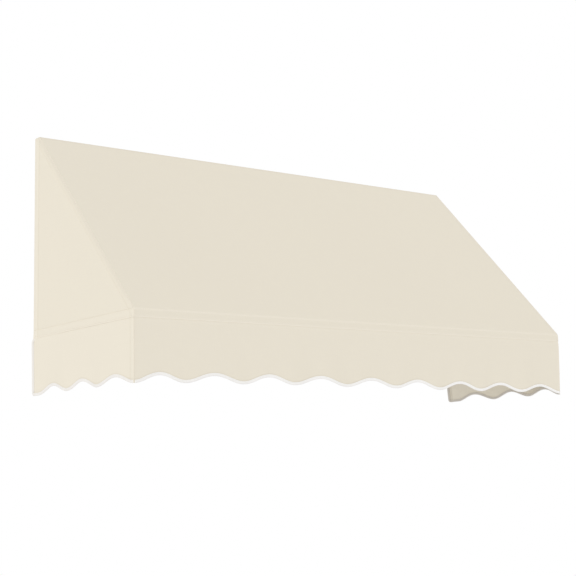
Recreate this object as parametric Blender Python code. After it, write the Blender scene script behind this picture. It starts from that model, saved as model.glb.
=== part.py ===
"""Window awning: a sewn canvas cover over a square-tube frame that is fixed to a wall and doesn't fold.

Metres, +Z up. X runs along the wall, the wall's face is the plane y = 0, and the awning stands out of
it towards -Y. The origin is on the wall, at the middle of the centre header bracket's fixing face.
Each shape is made where it stands. Its wings lean in a little towards the header, and lean() draws
every point in by that much, so that frame and cover lean together.
"""

import math

import bmesh
import bpy
from mathutils import Matrix, Vector

# The cover, measured on the outside of the canvas
WIDTH = 1.830  # across the two wings at the eave
PROJECTION = 0.600  # from the wall to the front
HEIGHT = 0.630  # from the flat top over the header down to the eave fold
VALANCE_DROP = 0.188  # from the foot of the band down to the lowest point of the edging
LEAN_IN = 0.012  # how far each wing's top stands inside its foot

# Canvas and its edging
CLOTH = 0.001
SEAM_LAP = 0.012  # how far a valance is tucked up behind the band
RETURN = 0.022  # how far the cover is turned in behind the header and the uprights
SCALLOP_RISE = 0.026  # from a low point of the wavy edge to a high point
FRONT_SCALLOPS = 9
SIDE_SCALLOPS = 3
WAVE_STEPS = 10  # straight pieces in the outline of one scallop
TAPE = 0.0006  # thickness of the edging tape
TAPE_REACH = 0.008  # how far the folded tape comes up each face of the valance

# Frame
TUBE = 0.025  # outside of the square tube, and so the depth of the band
TUBE_WALL = 0.0016
TUBE_ROUND = 0.0015  # radius of the tube's outer corners
SPIGOT_LENGTH = 0.035
STANDOFF = 0.006  # from the wall to the back of the tubes
VALANCE_CLEAR = 0.001  # from the wall to the taped ends of the side valances

# Wall brackets and the middle rafter's sockets
PLATE = 0.003
BRACKET_WIDTH = 0.040
BRACKET_WALL_LEG = 0.048  # down or along the wall, from the tube that the bracket carries
WALL_HOLE = 0.008
WALL_HOLE_SPREAD = 0.022
FIXING_DROP = 0.026  # from the underside of the header down to the line of its wall holes
BRACKET_SCREW_SPREAD = 0.024
HEADER_BRACKET_END = 0.240  # from the end of the header to its outer bracket
UPRIGHT_BRACKET_END = 0.100  # from the end of an upright to its bracket
SOCKET_WIDTH = 0.050

# Screws
SHANK = 0.0042
SCREW_REACH = 0.0085  # how far a screw goes in below the face it is driven through
HEX_FLANGE = 0.010
HEX_FLANGE_THICK = 0.001
HEX_FLATS = 0.007
HEX_HEIGHT = 0.003
JOINT_SCREW = 0.018  # from a tube's end to the screw that holds it on its spigot

# Clearance between pieces that touch or slide into each other
GAP = 0.0003

# Places that follow from the sizes
LAP = CLOTH + GAP  # from an outer face of the canvas to what lies directly under it
ROOM = 2 * LAP  # the same where a valance is tucked in between
BACK = -STANDOFF
FACE = BACK - TUBE
TUBE_Y = BACK - TUBE / 2
HEADER_FOOT = FIXING_DROP
HEADER_Z = HEADER_FOOT + TUBE / 2
HEADER_HEAD = HEADER_FOOT + TUBE
TOP_Z = HEADER_HEAD + LAP
EAVE_Z = TOP_Z - HEIGHT
BAND_Z = EAVE_Z - TUBE
EDGE_Z = BAND_Z - VALANCE_DROP
ARM_Z = EAVE_Z - TUBE / 2
HALF = WIDTH / 2
SIDE_FACE = HALF - ROOM
SIDE_X = SIDE_FACE - TUBE / 2
SIDE_IN = SIDE_FACE - TUBE
BAR_FACE = -PROJECTION + ROOM
BAR_Y = BAR_FACE + TUBE / 2
BAR_BACK = BAR_FACE + TUBE
NOSE_Y = FACE - LAP  # front edge of the flat top
REAR_Y = BACK + LAP  # wall edge of the cover
PITCH = math.atan2(HEIGHT, NOSE_Y + PROJECTION)
SPIGOT = TUBE - 2 * TUBE_WALL - 2 * GAP

MATERIALS = {
    "canvas": ((0.80, 0.74, 0.65), 0.85, 0.0),
    "edging_tape": ((0.90, 0.88, 0.88), 0.70, 0.0),
    "tube_aluminium": ((0.62, 0.63, 0.64), 0.35, 1.0),
    "cast_aluminium": ((0.48, 0.49, 0.50), 0.50, 1.0),
    "bracket_steel": ((0.55, 0.55, 0.53), 0.45, 1.0),
    "screw_steel": ((0.66, 0.66, 0.66), 0.30, 1.0),
}


def clear_scene():
    for item in list(bpy.data.objects):
        bpy.data.objects.remove(item)


def make_material(name):
    colour, roughness, metallic = MATERIALS[name]
    material = bpy.data.materials.new(name)
    material.use_nodes = True
    shader = material.node_tree.nodes["Principled BSDF"]
    shader.inputs["Base Color"].default_value = (*colour, 1.0)
    shader.inputs["Roughness"].default_value = roughness
    shader.inputs["Metallic"].default_value = metallic
    material.diffuse_color = (*colour, 1.0)
    return material


def lean(point):
    """Draws a point in towards the middle, nothing at the foot of the band and LEAN_IN at the top."""
    rise = max(0.0, point.z - BAND_Z) / (TOP_Z - BAND_Z)
    return Vector((point.x * (1 - rise * LEAN_IN / HALF), point.y, point.z))


def under_slope(depth, along):
    """(y, z) at a depth under the outside of the slope, and at a distance up it from the eave fold."""
    y = -PROJECTION + along * math.cos(PITCH) + depth * math.sin(PITCH)
    z = EAVE_Z + along * math.sin(PITCH) - depth * math.cos(PITCH)
    return y, z


def frame_at(x, y, z, direction):
    """A frame whose +Z runs along direction, with its X or Y along the world's X where it can be."""
    up = Vector(direction).normalized()
    first = Vector((1, 0, 0)) if abs(up.x) < 0.5 else Vector((0, 1, 0))
    second = up.cross(first).normalized()
    first = second.cross(up)
    turn = Matrix((first, second, up)).transposed().to_4x4()
    return Matrix.Translation((x, y, z)) @ turn


# Solids, each added to a bmesh


def bridge(bm, low, high):
    """Faces between two loops that have equally many points, or one twice as many as the other."""
    if len(low) > len(high):
        low, high = high, low
    count = len(low)
    for i in range(count):
        j = (i + 1) % count
        if len(high) == count:
            bm.faces.new((low[i], low[j], high[j], high[i]))
        else:
            bm.faces.new((low[i], high[2 * i + 1], high[2 * i]))
            bm.faces.new((low[i], low[j], high[2 * j], high[2 * i + 1]))


def loft(bm, rings):
    """A closed solid through rings of points, capped at both ends."""
    loops = []
    for ring in rings:
        loops.append([bm.verts.new(point) for point in ring])
    for low, high in zip(loops, loops[1:]):
        bridge(bm, low, high)
    bm.faces.new(loops[0])
    bm.faces.new(loops[-1])


def prism(bm, outline, low, high, axis):
    """An outline swept along an axis: its points are (y, z) for X, (x, z) for Y and (x, y) for Z."""
    place = {
        "X": lambda a, b, end: Vector((end, a, b)),
        "Y": lambda a, b, end: Vector((a, end, b)),
        "Z": lambda a, b, end: Vector((a, b, end)),
    }[axis]
    loft(bm, [[place(a, b, end) for a, b in outline] for end in (low, high)])


def box(bm, x, y, z):
    """A box between two values along each axis."""
    prism(bm, [(y[0], z[0]), (y[1], z[0]), (y[1], z[1]), (y[0], z[1])], x[0], x[1], "X")


CORNERS = ((-1, -1), (1, -1), (1, 1), (-1, 1))


def square(side, height):
    half = side / 2
    return [Vector((a * half, b * half, height)) for a, b in CORNERS]


def rounded_square(side, radius, height):
    """Three points at each corner: the two ends of its arc and the middle."""
    straight = side / 2 - radius
    ring = []
    for i, (a, b) in enumerate(CORNERS):
        for step in range(3):
            angle = math.pi * (1 + i / 2 + step / 4)
            x = a * straight + radius * math.cos(angle)
            y = b * straight + radius * math.sin(angle)
            ring.append(Vector((x, y, height)))
    return ring


def bar(bm, frame, side, start, end):
    """A solid square bar along a frame's +Z."""
    loft(bm, [[frame @ point for point in square(side, height)] for height in (start, end)])


def tube(bm, frame, start, end):
    """A square tube along a frame's +Z: the wall's outside and inside, and a rim at each end."""
    bore = TUBE - 2 * TUBE_WALL
    rings = [
        rounded_square(TUBE, TUBE_ROUND, start),
        rounded_square(TUBE, TUBE_ROUND, end),
        rounded_square(bore, GAP, end),
        rounded_square(bore, GAP, start),
    ]
    loops = [[bm.verts.new(frame @ point) for point in ring] for ring in rings]
    for loop, after in zip(loops, loops[1:] + loops[:1]):
        bridge(bm, loop, after)


def circle(count, radius, height):
    angles = [2 * math.pi * i / count for i in range(count)]
    return [Vector((radius * math.cos(a), radius * math.sin(a), height)) for a in angles]


def hex_screw(bm, seat, foot):
    """A self-drilling screw, its head on a frame's +Z side, its washer face at a height of foot."""
    washer = foot + HEX_FLANGE_THICK
    corner = HEX_FLATS / math.sqrt(3)
    rings = [
        circle(6, SHANK / 2, -SCREW_REACH),
        circle(6, SHANK / 2, foot),
        circle(12, HEX_FLANGE / 2, foot),
        circle(12, HEX_FLANGE / 2, washer),
        circle(6, corner, washer),
        circle(6, corner, washer + HEX_HEIGHT),
    ]
    loft(bm, [[seat @ point for point in ring] for ring in rings])


def hole(bm, seat, width, depth, sides):
    """A round cutter that starts just proud of a frame's seat and runs down its -Z side."""
    rings = [circle(sides, width / 2, PLATE), circle(sides, width / 2, -depth)]
    loft(bm, [[seat @ point for point in ring] for ring in rings])


# Objects


class Awning:
    """Collects the objects, and the holes that the screws need in what they pass through."""

    def __init__(self):
        self.materials = {name: make_material(name) for name in MATERIALS}
        self.nodes = {}
        self.parents = {}
        self.cutters = {}

    def mesh_object(self, name, bm):
        """An object that stands at the middle of its own mesh, leaned in with the wings."""
        for vert in bm.verts:
            vert.co = lean(vert.co)
        bmesh.ops.recalc_face_normals(bm, faces=bm.faces)
        low = Vector([min(v.co[i] for v in bm.verts) for i in range(3)])
        high = Vector([max(v.co[i] for v in bm.verts) for i in range(3)])
        middle = (low + high) / 2
        bmesh.ops.translate(bm, verts=bm.verts, vec=-middle)
        mesh = bpy.data.meshes.new(name)
        bm.to_mesh(mesh)
        bm.free()
        item = bpy.data.objects.new(name, mesh)
        item.location = middle
        bpy.context.collection.objects.link(item)
        return item

    def node(self, name, bm, material, group):
        """One piece of the awning, under the empty of its group."""
        item = self.mesh_object(name, bm)
        item.data.materials.append(self.materials[material])
        if group not in self.parents:
            self.parents[group] = bpy.data.objects.new(group, None)
            bpy.context.collection.objects.link(self.parents[group])
        item.parent = self.parents[group]
        self.nodes[name] = item
        return item

    def combine(self, name, bm, operation):
        """Adds the solids in bm to a node, or cuts them out of it."""
        helper = self.mesh_object(f"{name}_{operation.lower()}", bm)
        helper.hide_render = True
        helper.display_type = "WIRE"
        step = self.nodes[name].modifiers.new(operation.title(), "BOOLEAN")
        step.operation = operation
        step.object = helper

    def drill(self, name, seat, width, depth, sides):
        """Notes a hole for a node. finish() cuts all the holes of a node at once."""
        hole(self.cutters.setdefault(name, bmesh.new()), seat, width, depth, sides)

    def screw_hole(self, name, seat):
        self.drill(name, seat, SHANK + 2 * GAP, SCREW_REACH + GAP, 8)

    def wall_hole(self, name, seat):
        self.drill(name, seat, WALL_HOLE, 2 * PLATE, 16)

    def screw(self, name, seat, through):
        """A screw of its own, with a hole for it in each node that it passes through."""
        bm = bmesh.new()
        hex_screw(bm, seat, GAP)
        self.node(name, bm, "screw_steel", "fixings")
        for other in through:
            self.screw_hole(other, seat)

    def finish(self):
        for name, bm in self.cutters.items():
            self.combine(name, bm, "DIFFERENCE")


def new_node(awning, name, material, group, add, *sizes):
    """A node from one solid."""
    bm = bmesh.new()
    add(bm, *sizes)
    return awning.node(name, bm, material, group)


# Where the rafters end, measured up the slope from the eave fold
RAFTER_FOOT = (GAP + math.cos(PITCH) * (LAP + TUBE)) / math.sin(PITCH)
RAFTER_HEAD = (PROJECTION + FACE - GAP - math.sin(PITCH) * (LAP + TUBE)) / math.cos(PITCH)
SOCKET_FOOT = RAFTER_FOOT + (PLATE + GAP) / math.sin(PITCH)
SOCKET_HEAD = RAFTER_HEAD - (PLATE + GAP) / math.cos(PITCH)

UP_SLOPE = (0, math.cos(PITCH), math.sin(PITCH))
DOWN_SLOPE = (0, -math.cos(PITCH), -math.sin(PITCH))


def rafter_frame(x, along, direction):
    y, z = under_slope(LAP + TUBE / 2, along)
    return frame_at(x, y, z, direction)


def make_tubes(awning):
    """The header and the front bar run the whole width. Each wing is a frame of three tubes."""
    across = (1, 0, 0)
    half = SIDE_IN - GAP
    material = "tube_aluminium"
    group = "frame"
    header = frame_at(0, TUBE_Y, HEADER_Z, across)
    new_node(awning, "header_tube", material, group, tube, header, -half, half)
    front = frame_at(0, BAR_Y, ARM_Z, across)
    new_node(awning, "front_bar", material, group, tube, front, -half, half)
    upright_length = HEADER_FOOT - EAVE_Z - 2 * GAP
    arm_length = FACE - BAR_BACK - 2 * GAP
    for side, hand in ((-1, "left"), (1, "right")):
        x = side * SIDE_X
        frame = frame_at(x, TUBE_Y, EAVE_Z + GAP, (0, 0, 1))
        new_node(awning, f"{hand}_upright", material, group, tube, frame, 0, upright_length)
        frame = frame_at(x, BAR_BACK + GAP, ARM_Z, (0, 1, 0))
        new_node(awning, f"{hand}_eave_arm", material, group, tube, frame, 0, arm_length)
        frame = rafter_frame(x, RAFTER_FOOT + GAP, UP_SLOPE)
        length = RAFTER_HEAD - RAFTER_FOOT - 2 * GAP
        new_node(awning, f"{hand}_rafter", material, group, tube, frame, 0, length)
    frame = rafter_frame(0, SOCKET_FOOT + GAP, UP_SLOPE)
    length = SOCKET_HEAD - SOCKET_FOOT - 2 * GAP
    new_node(awning, "middle_rafter", material, group, tube, frame, 0, length)


def casting(awning, name, outline, x, ends):
    """A cast corner or socket: a block from an outline, with a square spigot at each of its ends."""
    bm = bmesh.new()
    prism(bm, outline, x[0], x[1], "X")
    awning.node(name, bm, "cast_aluminium", "frame")
    spigots = bmesh.new()
    for frame in ends:
        bar(spigots, frame, SPIGOT, -PLATE / 2, SPIGOT_LENGTH)
    awning.combine(name, spigots, "UNION")


def joint_screw(awning, spigot, direction, tube_name, casting_name):
    """A screw through a tube's wall into the spigot inside it, driven against direction."""
    place = spigot @ Vector((0, 0, JOINT_SCREW)) + Vector(direction) * (TUBE / 2)
    seat = frame_at(*place, direction)
    member = tube_name.removeprefix("left_").removeprefix("right_").removeprefix("middle_")
    awning.screw(f"{casting_name}_{member}_screw", seat, (tube_name, casting_name))


def make_corners(awning):
    """Each wing has a three-way casting at the header, one at the eave and an elbow at the wall."""
    for side, hand in ((-1, "left"), (1, "right")):
        x = side * SIDE_X
        span = sorted((side * SIDE_IN, side * SIDE_FACE))
        inward = (-side, 0, 0)

        to_header = frame_at(side * SIDE_IN, TUBE_Y, HEADER_Z, inward)
        to_upright = frame_at(x, TUBE_Y, HEADER_FOOT, (0, 0, -1))
        to_rafter = rafter_frame(x, RAFTER_HEAD, DOWN_SLOPE)
        outline = [
            (BACK, HEADER_HEAD),
            (FACE, HEADER_HEAD),
            under_slope(LAP, RAFTER_HEAD),
            under_slope(LAP + TUBE, RAFTER_HEAD),
            (FACE, HEADER_FOOT),
            (BACK, HEADER_FOOT),
        ]
        name = f"{hand}_header_corner"
        casting(awning, name, outline, span, (to_header, to_upright, to_rafter))
        joint_screw(awning, to_header, (0, 0, -1), "header_tube", name)
        joint_screw(awning, to_upright, inward, f"{hand}_upright", name)
        joint_screw(awning, to_rafter, inward, f"{hand}_rafter", name)

        to_bar = frame_at(side * SIDE_IN, BAR_Y, ARM_Z, inward)
        to_arm = frame_at(x, BAR_BACK, ARM_Z, (0, 1, 0))
        to_rafter = rafter_frame(x, RAFTER_FOOT, UP_SLOPE)
        outline = [
            (BAR_FACE, BAND_Z),
            (BAR_BACK, BAND_Z),
            (BAR_BACK, EAVE_Z),
            under_slope(LAP + TUBE, RAFTER_FOOT),
            under_slope(LAP, RAFTER_FOOT),
            (BAR_FACE, EAVE_Z),
        ]
        name = f"{hand}_front_corner"
        casting(awning, name, outline, span, (to_bar, to_arm, to_rafter))
        joint_screw(awning, to_bar, (0, 1, 0), "front_bar", name)
        joint_screw(awning, to_arm, inward, f"{hand}_eave_arm", name)
        joint_screw(awning, to_rafter, inward, f"{hand}_rafter", name)

        to_arm = frame_at(x, FACE, ARM_Z, (0, -1, 0))
        to_upright = frame_at(x, TUBE_Y, EAVE_Z, (0, 0, 1))
        outline = [(BACK, BAND_Z), (FACE, BAND_Z), (FACE, EAVE_Z), (BACK, EAVE_Z)]
        name = f"{hand}_wall_corner"
        casting(awning, name, outline, span, (to_arm, to_upright))
        joint_screw(awning, to_arm, inward, f"{hand}_eave_arm", name)
        joint_screw(awning, to_upright, inward, f"{hand}_upright", name)


def make_sockets(awning):
    """The middle rafter ends in a socket on the front of the header and one on top of the front bar."""
    foot = FACE - GAP - PLATE
    top_outline = [
        (FACE - GAP, HEADER_FOOT),
        (FACE - GAP, HEADER_Z),
        under_slope(LAP, SOCKET_HEAD),
        under_slope(LAP + TUBE, SOCKET_HEAD),
        (foot, HEADER_FOOT),
    ]
    base = EAVE_Z + GAP
    low_outline = [
        (BAR_BACK - SPIGOT, base),
        (BAR_BACK, base),
        under_slope(LAP + TUBE, SOCKET_FOOT),
        under_slope(LAP, SOCKET_FOOT),
        (BAR_BACK - SPIGOT, base + PLATE),
    ]
    width = (-TUBE / 2, TUBE / 2)
    wide = (-SOCKET_WIDTH / 2, SOCKET_WIDTH / 2)
    ear_x = (TUBE + SOCKET_WIDTH) / 4

    down = rafter_frame(0, SOCKET_HEAD, DOWN_SLOPE)
    casting(awning, "middle_header_socket", top_outline, width, (down,))
    ears = bmesh.new()
    box(ears, wide, (foot, FACE - GAP), (HEADER_FOOT, HEADER_Z))
    awning.combine("middle_header_socket", ears, "UNION")
    joint_screw(awning, down, (1, 0, 0), "middle_rafter", "middle_header_socket")

    up = rafter_frame(0, SOCKET_FOOT, UP_SLOPE)
    casting(awning, "middle_front_socket", low_outline, width, (up,))
    ears = bmesh.new()
    box(ears, wide, (BAR_BACK - SPIGOT, BAR_BACK), (base, base + PLATE))
    awning.combine("middle_front_socket", ears, "UNION")
    joint_screw(awning, up, (1, 0, 0), "middle_rafter", "middle_front_socket")

    for side, hand in ((-1, "left"), (1, "right")):
        name = "middle_header_socket"
        seat = frame_at(side * ear_x, foot, (HEADER_FOOT + HEADER_Z) / 2, (0, -1, 0))
        awning.screw(f"{name}_{hand}_screw", seat, (name, "header_tube"))
        name = "middle_front_socket"
        seat = frame_at(side * ear_x, BAR_BACK - SPIGOT / 2, base + PLATE, (0, 0, 1))
        awning.screw(f"{name}_{hand}_screw", seat, (name, "front_bar"))


def angle_outline(leg, wall_leg):
    """An angle iron's section, as (out of the wall, along the wall): both legs start at the corner."""
    return [(0, 0), (leg, 0), (leg, PLATE), (PLATE, PLATE), (PLATE, wall_leg), (0, wall_leg)]


def bracket_screws(awning, name, seats, tube_name):
    """The screws that hold a bracket on a tube. They are one body with the bracket."""
    bm = bmesh.new()
    for seat in seats:
        hex_screw(bm, seat, -GAP)
        awning.screw_hole(tube_name, seat)
    awning.combine(name, bm, "UNION")


def make_brackets(awning):
    """Steel angles: three under the header, and two on the inner face of each upright."""
    leg = STANDOFF + TUBE
    section = angle_outline(leg, BRACKET_WALL_LEG)

    top = HEADER_FOOT - GAP
    outline = [(-out, top - down) for out, down in section]
    outer = SIDE_IN - HEADER_BRACKET_END
    for x, place in ((-outer, "left"), (0, "middle"), (outer, "right")):
        name = f"{place}_header_bracket"
        half = BRACKET_WIDTH / 2
        new_node(
            awning, name, "bracket_steel", "fixings", prism, outline, x - half, x + half, "X"
        )
        seats = []
        for step in (-1, 1):
            across = x + step * BRACKET_SCREW_SPREAD / 2
            seats.append(frame_at(across, TUBE_Y, top - PLATE, (0, 0, -1)))
            seat = frame_at(x + step * WALL_HOLE_SPREAD / 2, -PLATE, 0, (0, -1, 0))
            awning.wall_hole(name, seat)
        bracket_screws(awning, name, seats, "header_tube")

    for side, hand in ((-1, "left"), (1, "right")):
        face = SIDE_IN - GAP
        outline = [(side * (face - along), -out) for out, along in section]
        middle = side * (face - (PLATE + BRACKET_WALL_LEG) / 2)
        for place, z in (
            ("upper", HEADER_FOOT - UPRIGHT_BRACKET_END),
            ("lower", EAVE_Z + UPRIGHT_BRACKET_END),
        ):
            name = f"{hand}_{place}_bracket"
            low = z - BRACKET_WIDTH / 2
            high = z + BRACKET_WIDTH / 2
            new_node(awning, name, "bracket_steel", "fixings", prism, outline, low, high, "Z")
            seats = []
            for step in (-1, 1):
                height = z + step * BRACKET_SCREW_SPREAD / 2
                seats.append(frame_at(side * (face - PLATE), TUBE_Y, height, (-side, 0, 0)))
                seat = frame_at(middle, -PLATE, z + step * WALL_HOLE_SPREAD / 2, (0, -1, 0))
                awning.wall_hole(name, seat)
            bracket_screws(awning, name, seats, f"{hand}_upright")


def ribbon(path, thickness):
    """The outline of a sheet whose outer face follows a path. The sheet lies on the path's right."""
    inner = []
    for i, point in enumerate(path):
        before = Vector(path[max(i - 1, 0)])
        after = Vector(path[min(i + 1, len(path) - 1)])
        here = Vector(point)
        first = (here - before).normalized() if i else (after - here).normalized()
        second = (after - here).normalized() if i < len(path) - 1 else first
        normal = (Vector((first.y, -first.x)) + Vector((second.y, -second.x))).normalized()
        reach = thickness / normal.dot(Vector((first.y, -first.x)))
        inner.append(tuple(here + normal * reach))
    return path + inner[::-1]


def make_cover(awning):
    """The top panel wraps the header, runs down the slope and turns down as the band at the eave.
    Each wing is turned in behind its upright."""
    path = [
        (-PROJECTION, BAND_Z),
        (-PROJECTION, EAVE_Z),
        (NOSE_Y, TOP_Z),
        (REAR_Y, TOP_Z),
        (REAR_Y, TOP_Z - RETURN),
    ]
    outline = ribbon(path, CLOTH)
    half = HALF - LAP
    new_node(awning, "top_panel", "canvas", "cover", prism, outline, -half, half, "X")

    outline = [
        (REAR_Y, BAND_Z),
        (-PROJECTION, BAND_Z),
        (-PROJECTION, EAVE_Z),
        (NOSE_Y, TOP_Z),
        (REAR_Y, TOP_Z),
    ]
    for side, hand in ((-1, "left"), (1, "right")):
        name = f"{hand}_wing"
        span = sorted((side * (HALF - CLOTH), side * HALF))
        new_node(awning, name, "canvas", "cover", prism, outline, span[0], span[1], "X")
        turned = bmesh.new()
        span = sorted((side * (HALF - RETURN), side * (HALF - CLOTH / 2)))
        box(turned, span, (REAR_Y - CLOTH, REAR_Y), (BAND_Z, TOP_Z - RETURN - GAP))
        awning.combine(name, turned, "UNION")


def wavy_edge(start, end, scallops):
    """(along, z) points of a valance's lower edge. Its lowest points lie at both ends of a panel."""
    points = []
    steps = scallops * WAVE_STEPS
    for i in range(steps + 1):
        rise = SCALLOP_RISE * (1 - math.cos(2 * math.pi * i / WAVE_STEPS)) / 2
        points.append((start + (end - start) * i / steps, EDGE_Z + rise))
    return points


def tape_section():
    """The tape folded round the valance's edge, as (across, up from the fold's outside)."""
    inner = CLOTH / 2 + GAP
    outer = inner + TAPE
    return [
        (-outer, 0),
        (outer, 0),
        (outer, TAPE_REACH),
        (inner, TAPE_REACH),
        (inner, TAPE),
        (-inner, TAPE),
        (-inner, TAPE_REACH),
        (-outer, TAPE_REACH),
    ]


def raised(points, rise):
    return [(along, z + rise) for along, z in points]


def make_front_valance(awning, end, y):
    """Tucked up behind the band, with the white tape along its wavy edge."""
    edge = wavy_edge(-end, end, FRONT_SCALLOPS)
    head = BAND_Z + SEAM_LAP
    outline = raised(edge, TAPE + GAP) + [(end, head), (-end, head)]
    low = y - CLOTH / 2
    new_node(awning, "front_valance", "canvas", "cover", prism, outline, low, low + CLOTH, "Y")
    bm = bmesh.new()
    section = tape_section()
    loft(bm, [[Vector((along, y + a, z + b)) for a, b in section] for along, z in edge])
    awning.node("front_edging", bm, "edging_tape", "cover")


def make_side_valance(awning, hand, x, corner):
    """Below the band it reaches past the wing, almost to the wall, and its tape goes on up that end."""
    name = f"{hand}_edging"
    fold = -VALANCE_CLEAR
    end = fold - TAPE - GAP
    edge = wavy_edge(corner, fold, SIDE_SCALLOPS)
    cut = [(min(along, end), z) for along, z in raised(edge, TAPE + GAP)]
    head = BAND_Z + SEAM_LAP
    tuck = REAR_Y - LAP
    outline = cut + [(end, BAND_Z - GAP), (tuck, BAND_Z - GAP), (tuck, head), (corner, head)]
    low = x - CLOTH / 2
    new_node(awning, f"{hand}_valance", "canvas", "cover", prism, outline, low, low + CLOTH, "X")
    bm = bmesh.new()
    section = tape_section()
    loft(bm, [[Vector((x + a, along, z + b)) for a, b in section] for along, z in edge])
    awning.node(name, bm, "edging_tape", "cover")
    upright = bmesh.new()
    outline = [(x + a, fold - b) for a, b in section]
    prism(upright, outline, EDGE_Z + TAPE, BAND_Z - GAP, "Z")
    awning.combine(name, upright, "UNION")


def make_valances(awning):
    """Three scalloped panels, which hang from the foot of the band."""
    side_x = HALF - LAP - CLOTH / 2
    front_end = side_x - CLOTH / 2 - TAPE - 2 * GAP
    make_front_valance(awning, front_end, -PROJECTION + LAP + CLOTH / 2)
    for side, hand in ((-1, "left"), (1, "right")):
        make_side_valance(awning, hand, side * side_x, -PROJECTION + LAP)


def main():
    clear_scene()
    awning = Awning()
    make_tubes(awning)
    make_corners(awning)
    make_sockets(awning)
    make_brackets(awning)
    make_cover(awning)
    make_valances(awning)
    awning.finish()


main()
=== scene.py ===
# %% [markdown]
# # A window awning: sewn canvas over an aluminium frame
# The awning is a fixed one. A frame of square aluminium tube stands out from the wall, and a
# cover of cream acrylic canvas is sewn to fit over it: one long top panel, a wing on each side,
# and a scalloped valance round the foot, edged with white tape. The construction model holds
# the frame and plain solids for the cloth. This script keeps the frame, gives it its metal
# finishes, and makes the cloth again as a sewing shop would cut and join it.

import math

import bmesh
import bpy
from mathutils import Matrix, Vector


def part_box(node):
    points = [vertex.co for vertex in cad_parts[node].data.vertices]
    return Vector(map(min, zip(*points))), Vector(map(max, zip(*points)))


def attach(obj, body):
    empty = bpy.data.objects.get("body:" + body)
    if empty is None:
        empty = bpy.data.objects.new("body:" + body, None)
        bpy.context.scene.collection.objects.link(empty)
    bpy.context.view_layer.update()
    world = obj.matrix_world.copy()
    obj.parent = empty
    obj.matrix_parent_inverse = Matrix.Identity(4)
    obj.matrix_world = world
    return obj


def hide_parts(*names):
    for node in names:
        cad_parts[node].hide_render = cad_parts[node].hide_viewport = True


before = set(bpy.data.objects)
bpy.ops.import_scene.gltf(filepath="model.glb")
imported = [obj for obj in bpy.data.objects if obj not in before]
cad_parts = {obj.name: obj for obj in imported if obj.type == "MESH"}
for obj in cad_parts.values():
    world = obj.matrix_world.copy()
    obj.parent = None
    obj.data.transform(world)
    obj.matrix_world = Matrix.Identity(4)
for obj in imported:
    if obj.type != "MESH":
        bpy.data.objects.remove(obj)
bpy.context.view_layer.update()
print("construction model:", len(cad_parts), "nodes")

# %% [markdown]
# ## Places that the frame gives
# Every size that the cloth has to fit comes from the construction model, so that a change there
# moves the cloth with it. X runs along the wall, the wall is y = 0 and the awning stands out
# towards -Y. The wings lean in a little towards the top, and `lean` does that to any point.

# %% Read the sizes
wing_low, wing_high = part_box("right_wing")
header_low, header_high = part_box("header_tube")
bar_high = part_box("front_bar")[1]
edging_low, edging_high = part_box("right_edging")

HALF = wing_high.x
FRONT_Y = wing_low.y
REAR_Y = wing_high.y
BAND_Z = wing_low.z
TOP_Z = wing_high.z
EAVE_Z = bar_high.z
EDGE_Z = edging_low.z
END_Y = edging_high.y  # the taped end of a side valance, next to the wall
LAP = TOP_Z - header_high.z  # from the outside of the canvas to the tube under it
NOSE_Y = header_low.y - LAP
LEAN_IN = 0.012
CLOTH = 0.001
RETURN = 0.022  # turned in behind the header and the uprights
GAP = 0.0003
PITCH = math.atan2(TOP_Z - EAVE_Z, NOSE_Y - FRONT_Y)


def lean(point):
    rise = max(0.0, point[2] - BAND_Z) / (TOP_Z - BAND_Z)
    return Vector((point[0] * (1 - rise * LEAN_IN / HALF), point[1], point[2]))


print(f"{2 * HALF:.3f} m wide, {-FRONT_Y:.3f} m deep, slope {math.degrees(PITCH):.1f} degrees")

# %% [markdown]
# ## Camera
# The picture is taken from the street, from below and from the left, with a long lens. The lens
# and the place were found by fitting the awning's corners to the corners in the picture. A
# camera looks along its own -Z, so its rotation is built from three directions: right, up and
# backwards. The roll turns right and up about the line of sight.

# %% Set up the camera
CAMERA_PLACE = Vector((-2.9389, -3.7930, -1.0841))
CAMERA_YAW = math.radians(37.795)
CAMERA_PITCH = math.radians(8.336)
CAMERA_ROLL = math.radians(-1.882)
LENS_MM = 83.748
SHIFT_X = 0.05  # the picture was cropped a little to one side

ahead = Vector((
    math.sin(CAMERA_YAW) * math.cos(CAMERA_PITCH),
    math.cos(CAMERA_YAW) * math.cos(CAMERA_PITCH),
    math.sin(CAMERA_PITCH),
))
level = Vector((math.cos(CAMERA_YAW), -math.sin(CAMERA_YAW), 0))
above = level.cross(ahead)
right = level * math.cos(CAMERA_ROLL) + above * math.sin(CAMERA_ROLL)
up = above * math.cos(CAMERA_ROLL) - level * math.sin(CAMERA_ROLL)


def put_in_scene(name, data):
    item = bpy.data.objects.new(name, data)
    bpy.context.scene.collection.objects.link(item)
    return item


camera = put_in_scene("camera", bpy.data.cameras.new("camera"))
camera.data.lens = LENS_MM
camera.data.shift_x = SHIFT_X
turned = Matrix((right, up, -ahead)).transposed().to_4x4()
camera.matrix_world = Matrix.Translation(CAMERA_PLACE) @ turned
bpy.context.scene.camera = camera
print("camera at", tuple(round(v, 2) for v in CAMERA_PLACE))

# %% [markdown]
# ## A function that adds a node
# Materials and Geometry Nodes trees are both made of nodes. One function serves them all: `add`
# adds a node, sets its options, and fills its inputs with values, with sockets, or with the
# first output of another node. `fill` does that last part alone, for the shader that a new
# material already has. Colours are written as on a paint chart, in sRGB, and Blender works in
# linear light, so one function turns the one into the other.

# %% Helpers for nodes and colours


def fill(tree, node, inputs):
    for key, value in inputs.items():
        if isinstance(value, bpy.types.Node):
            value = value.outputs[0]
        if isinstance(value, bpy.types.NodeSocket):
            tree.links.new(value, node.inputs[key])
        else:
            node.inputs[key].default_value = value


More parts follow.
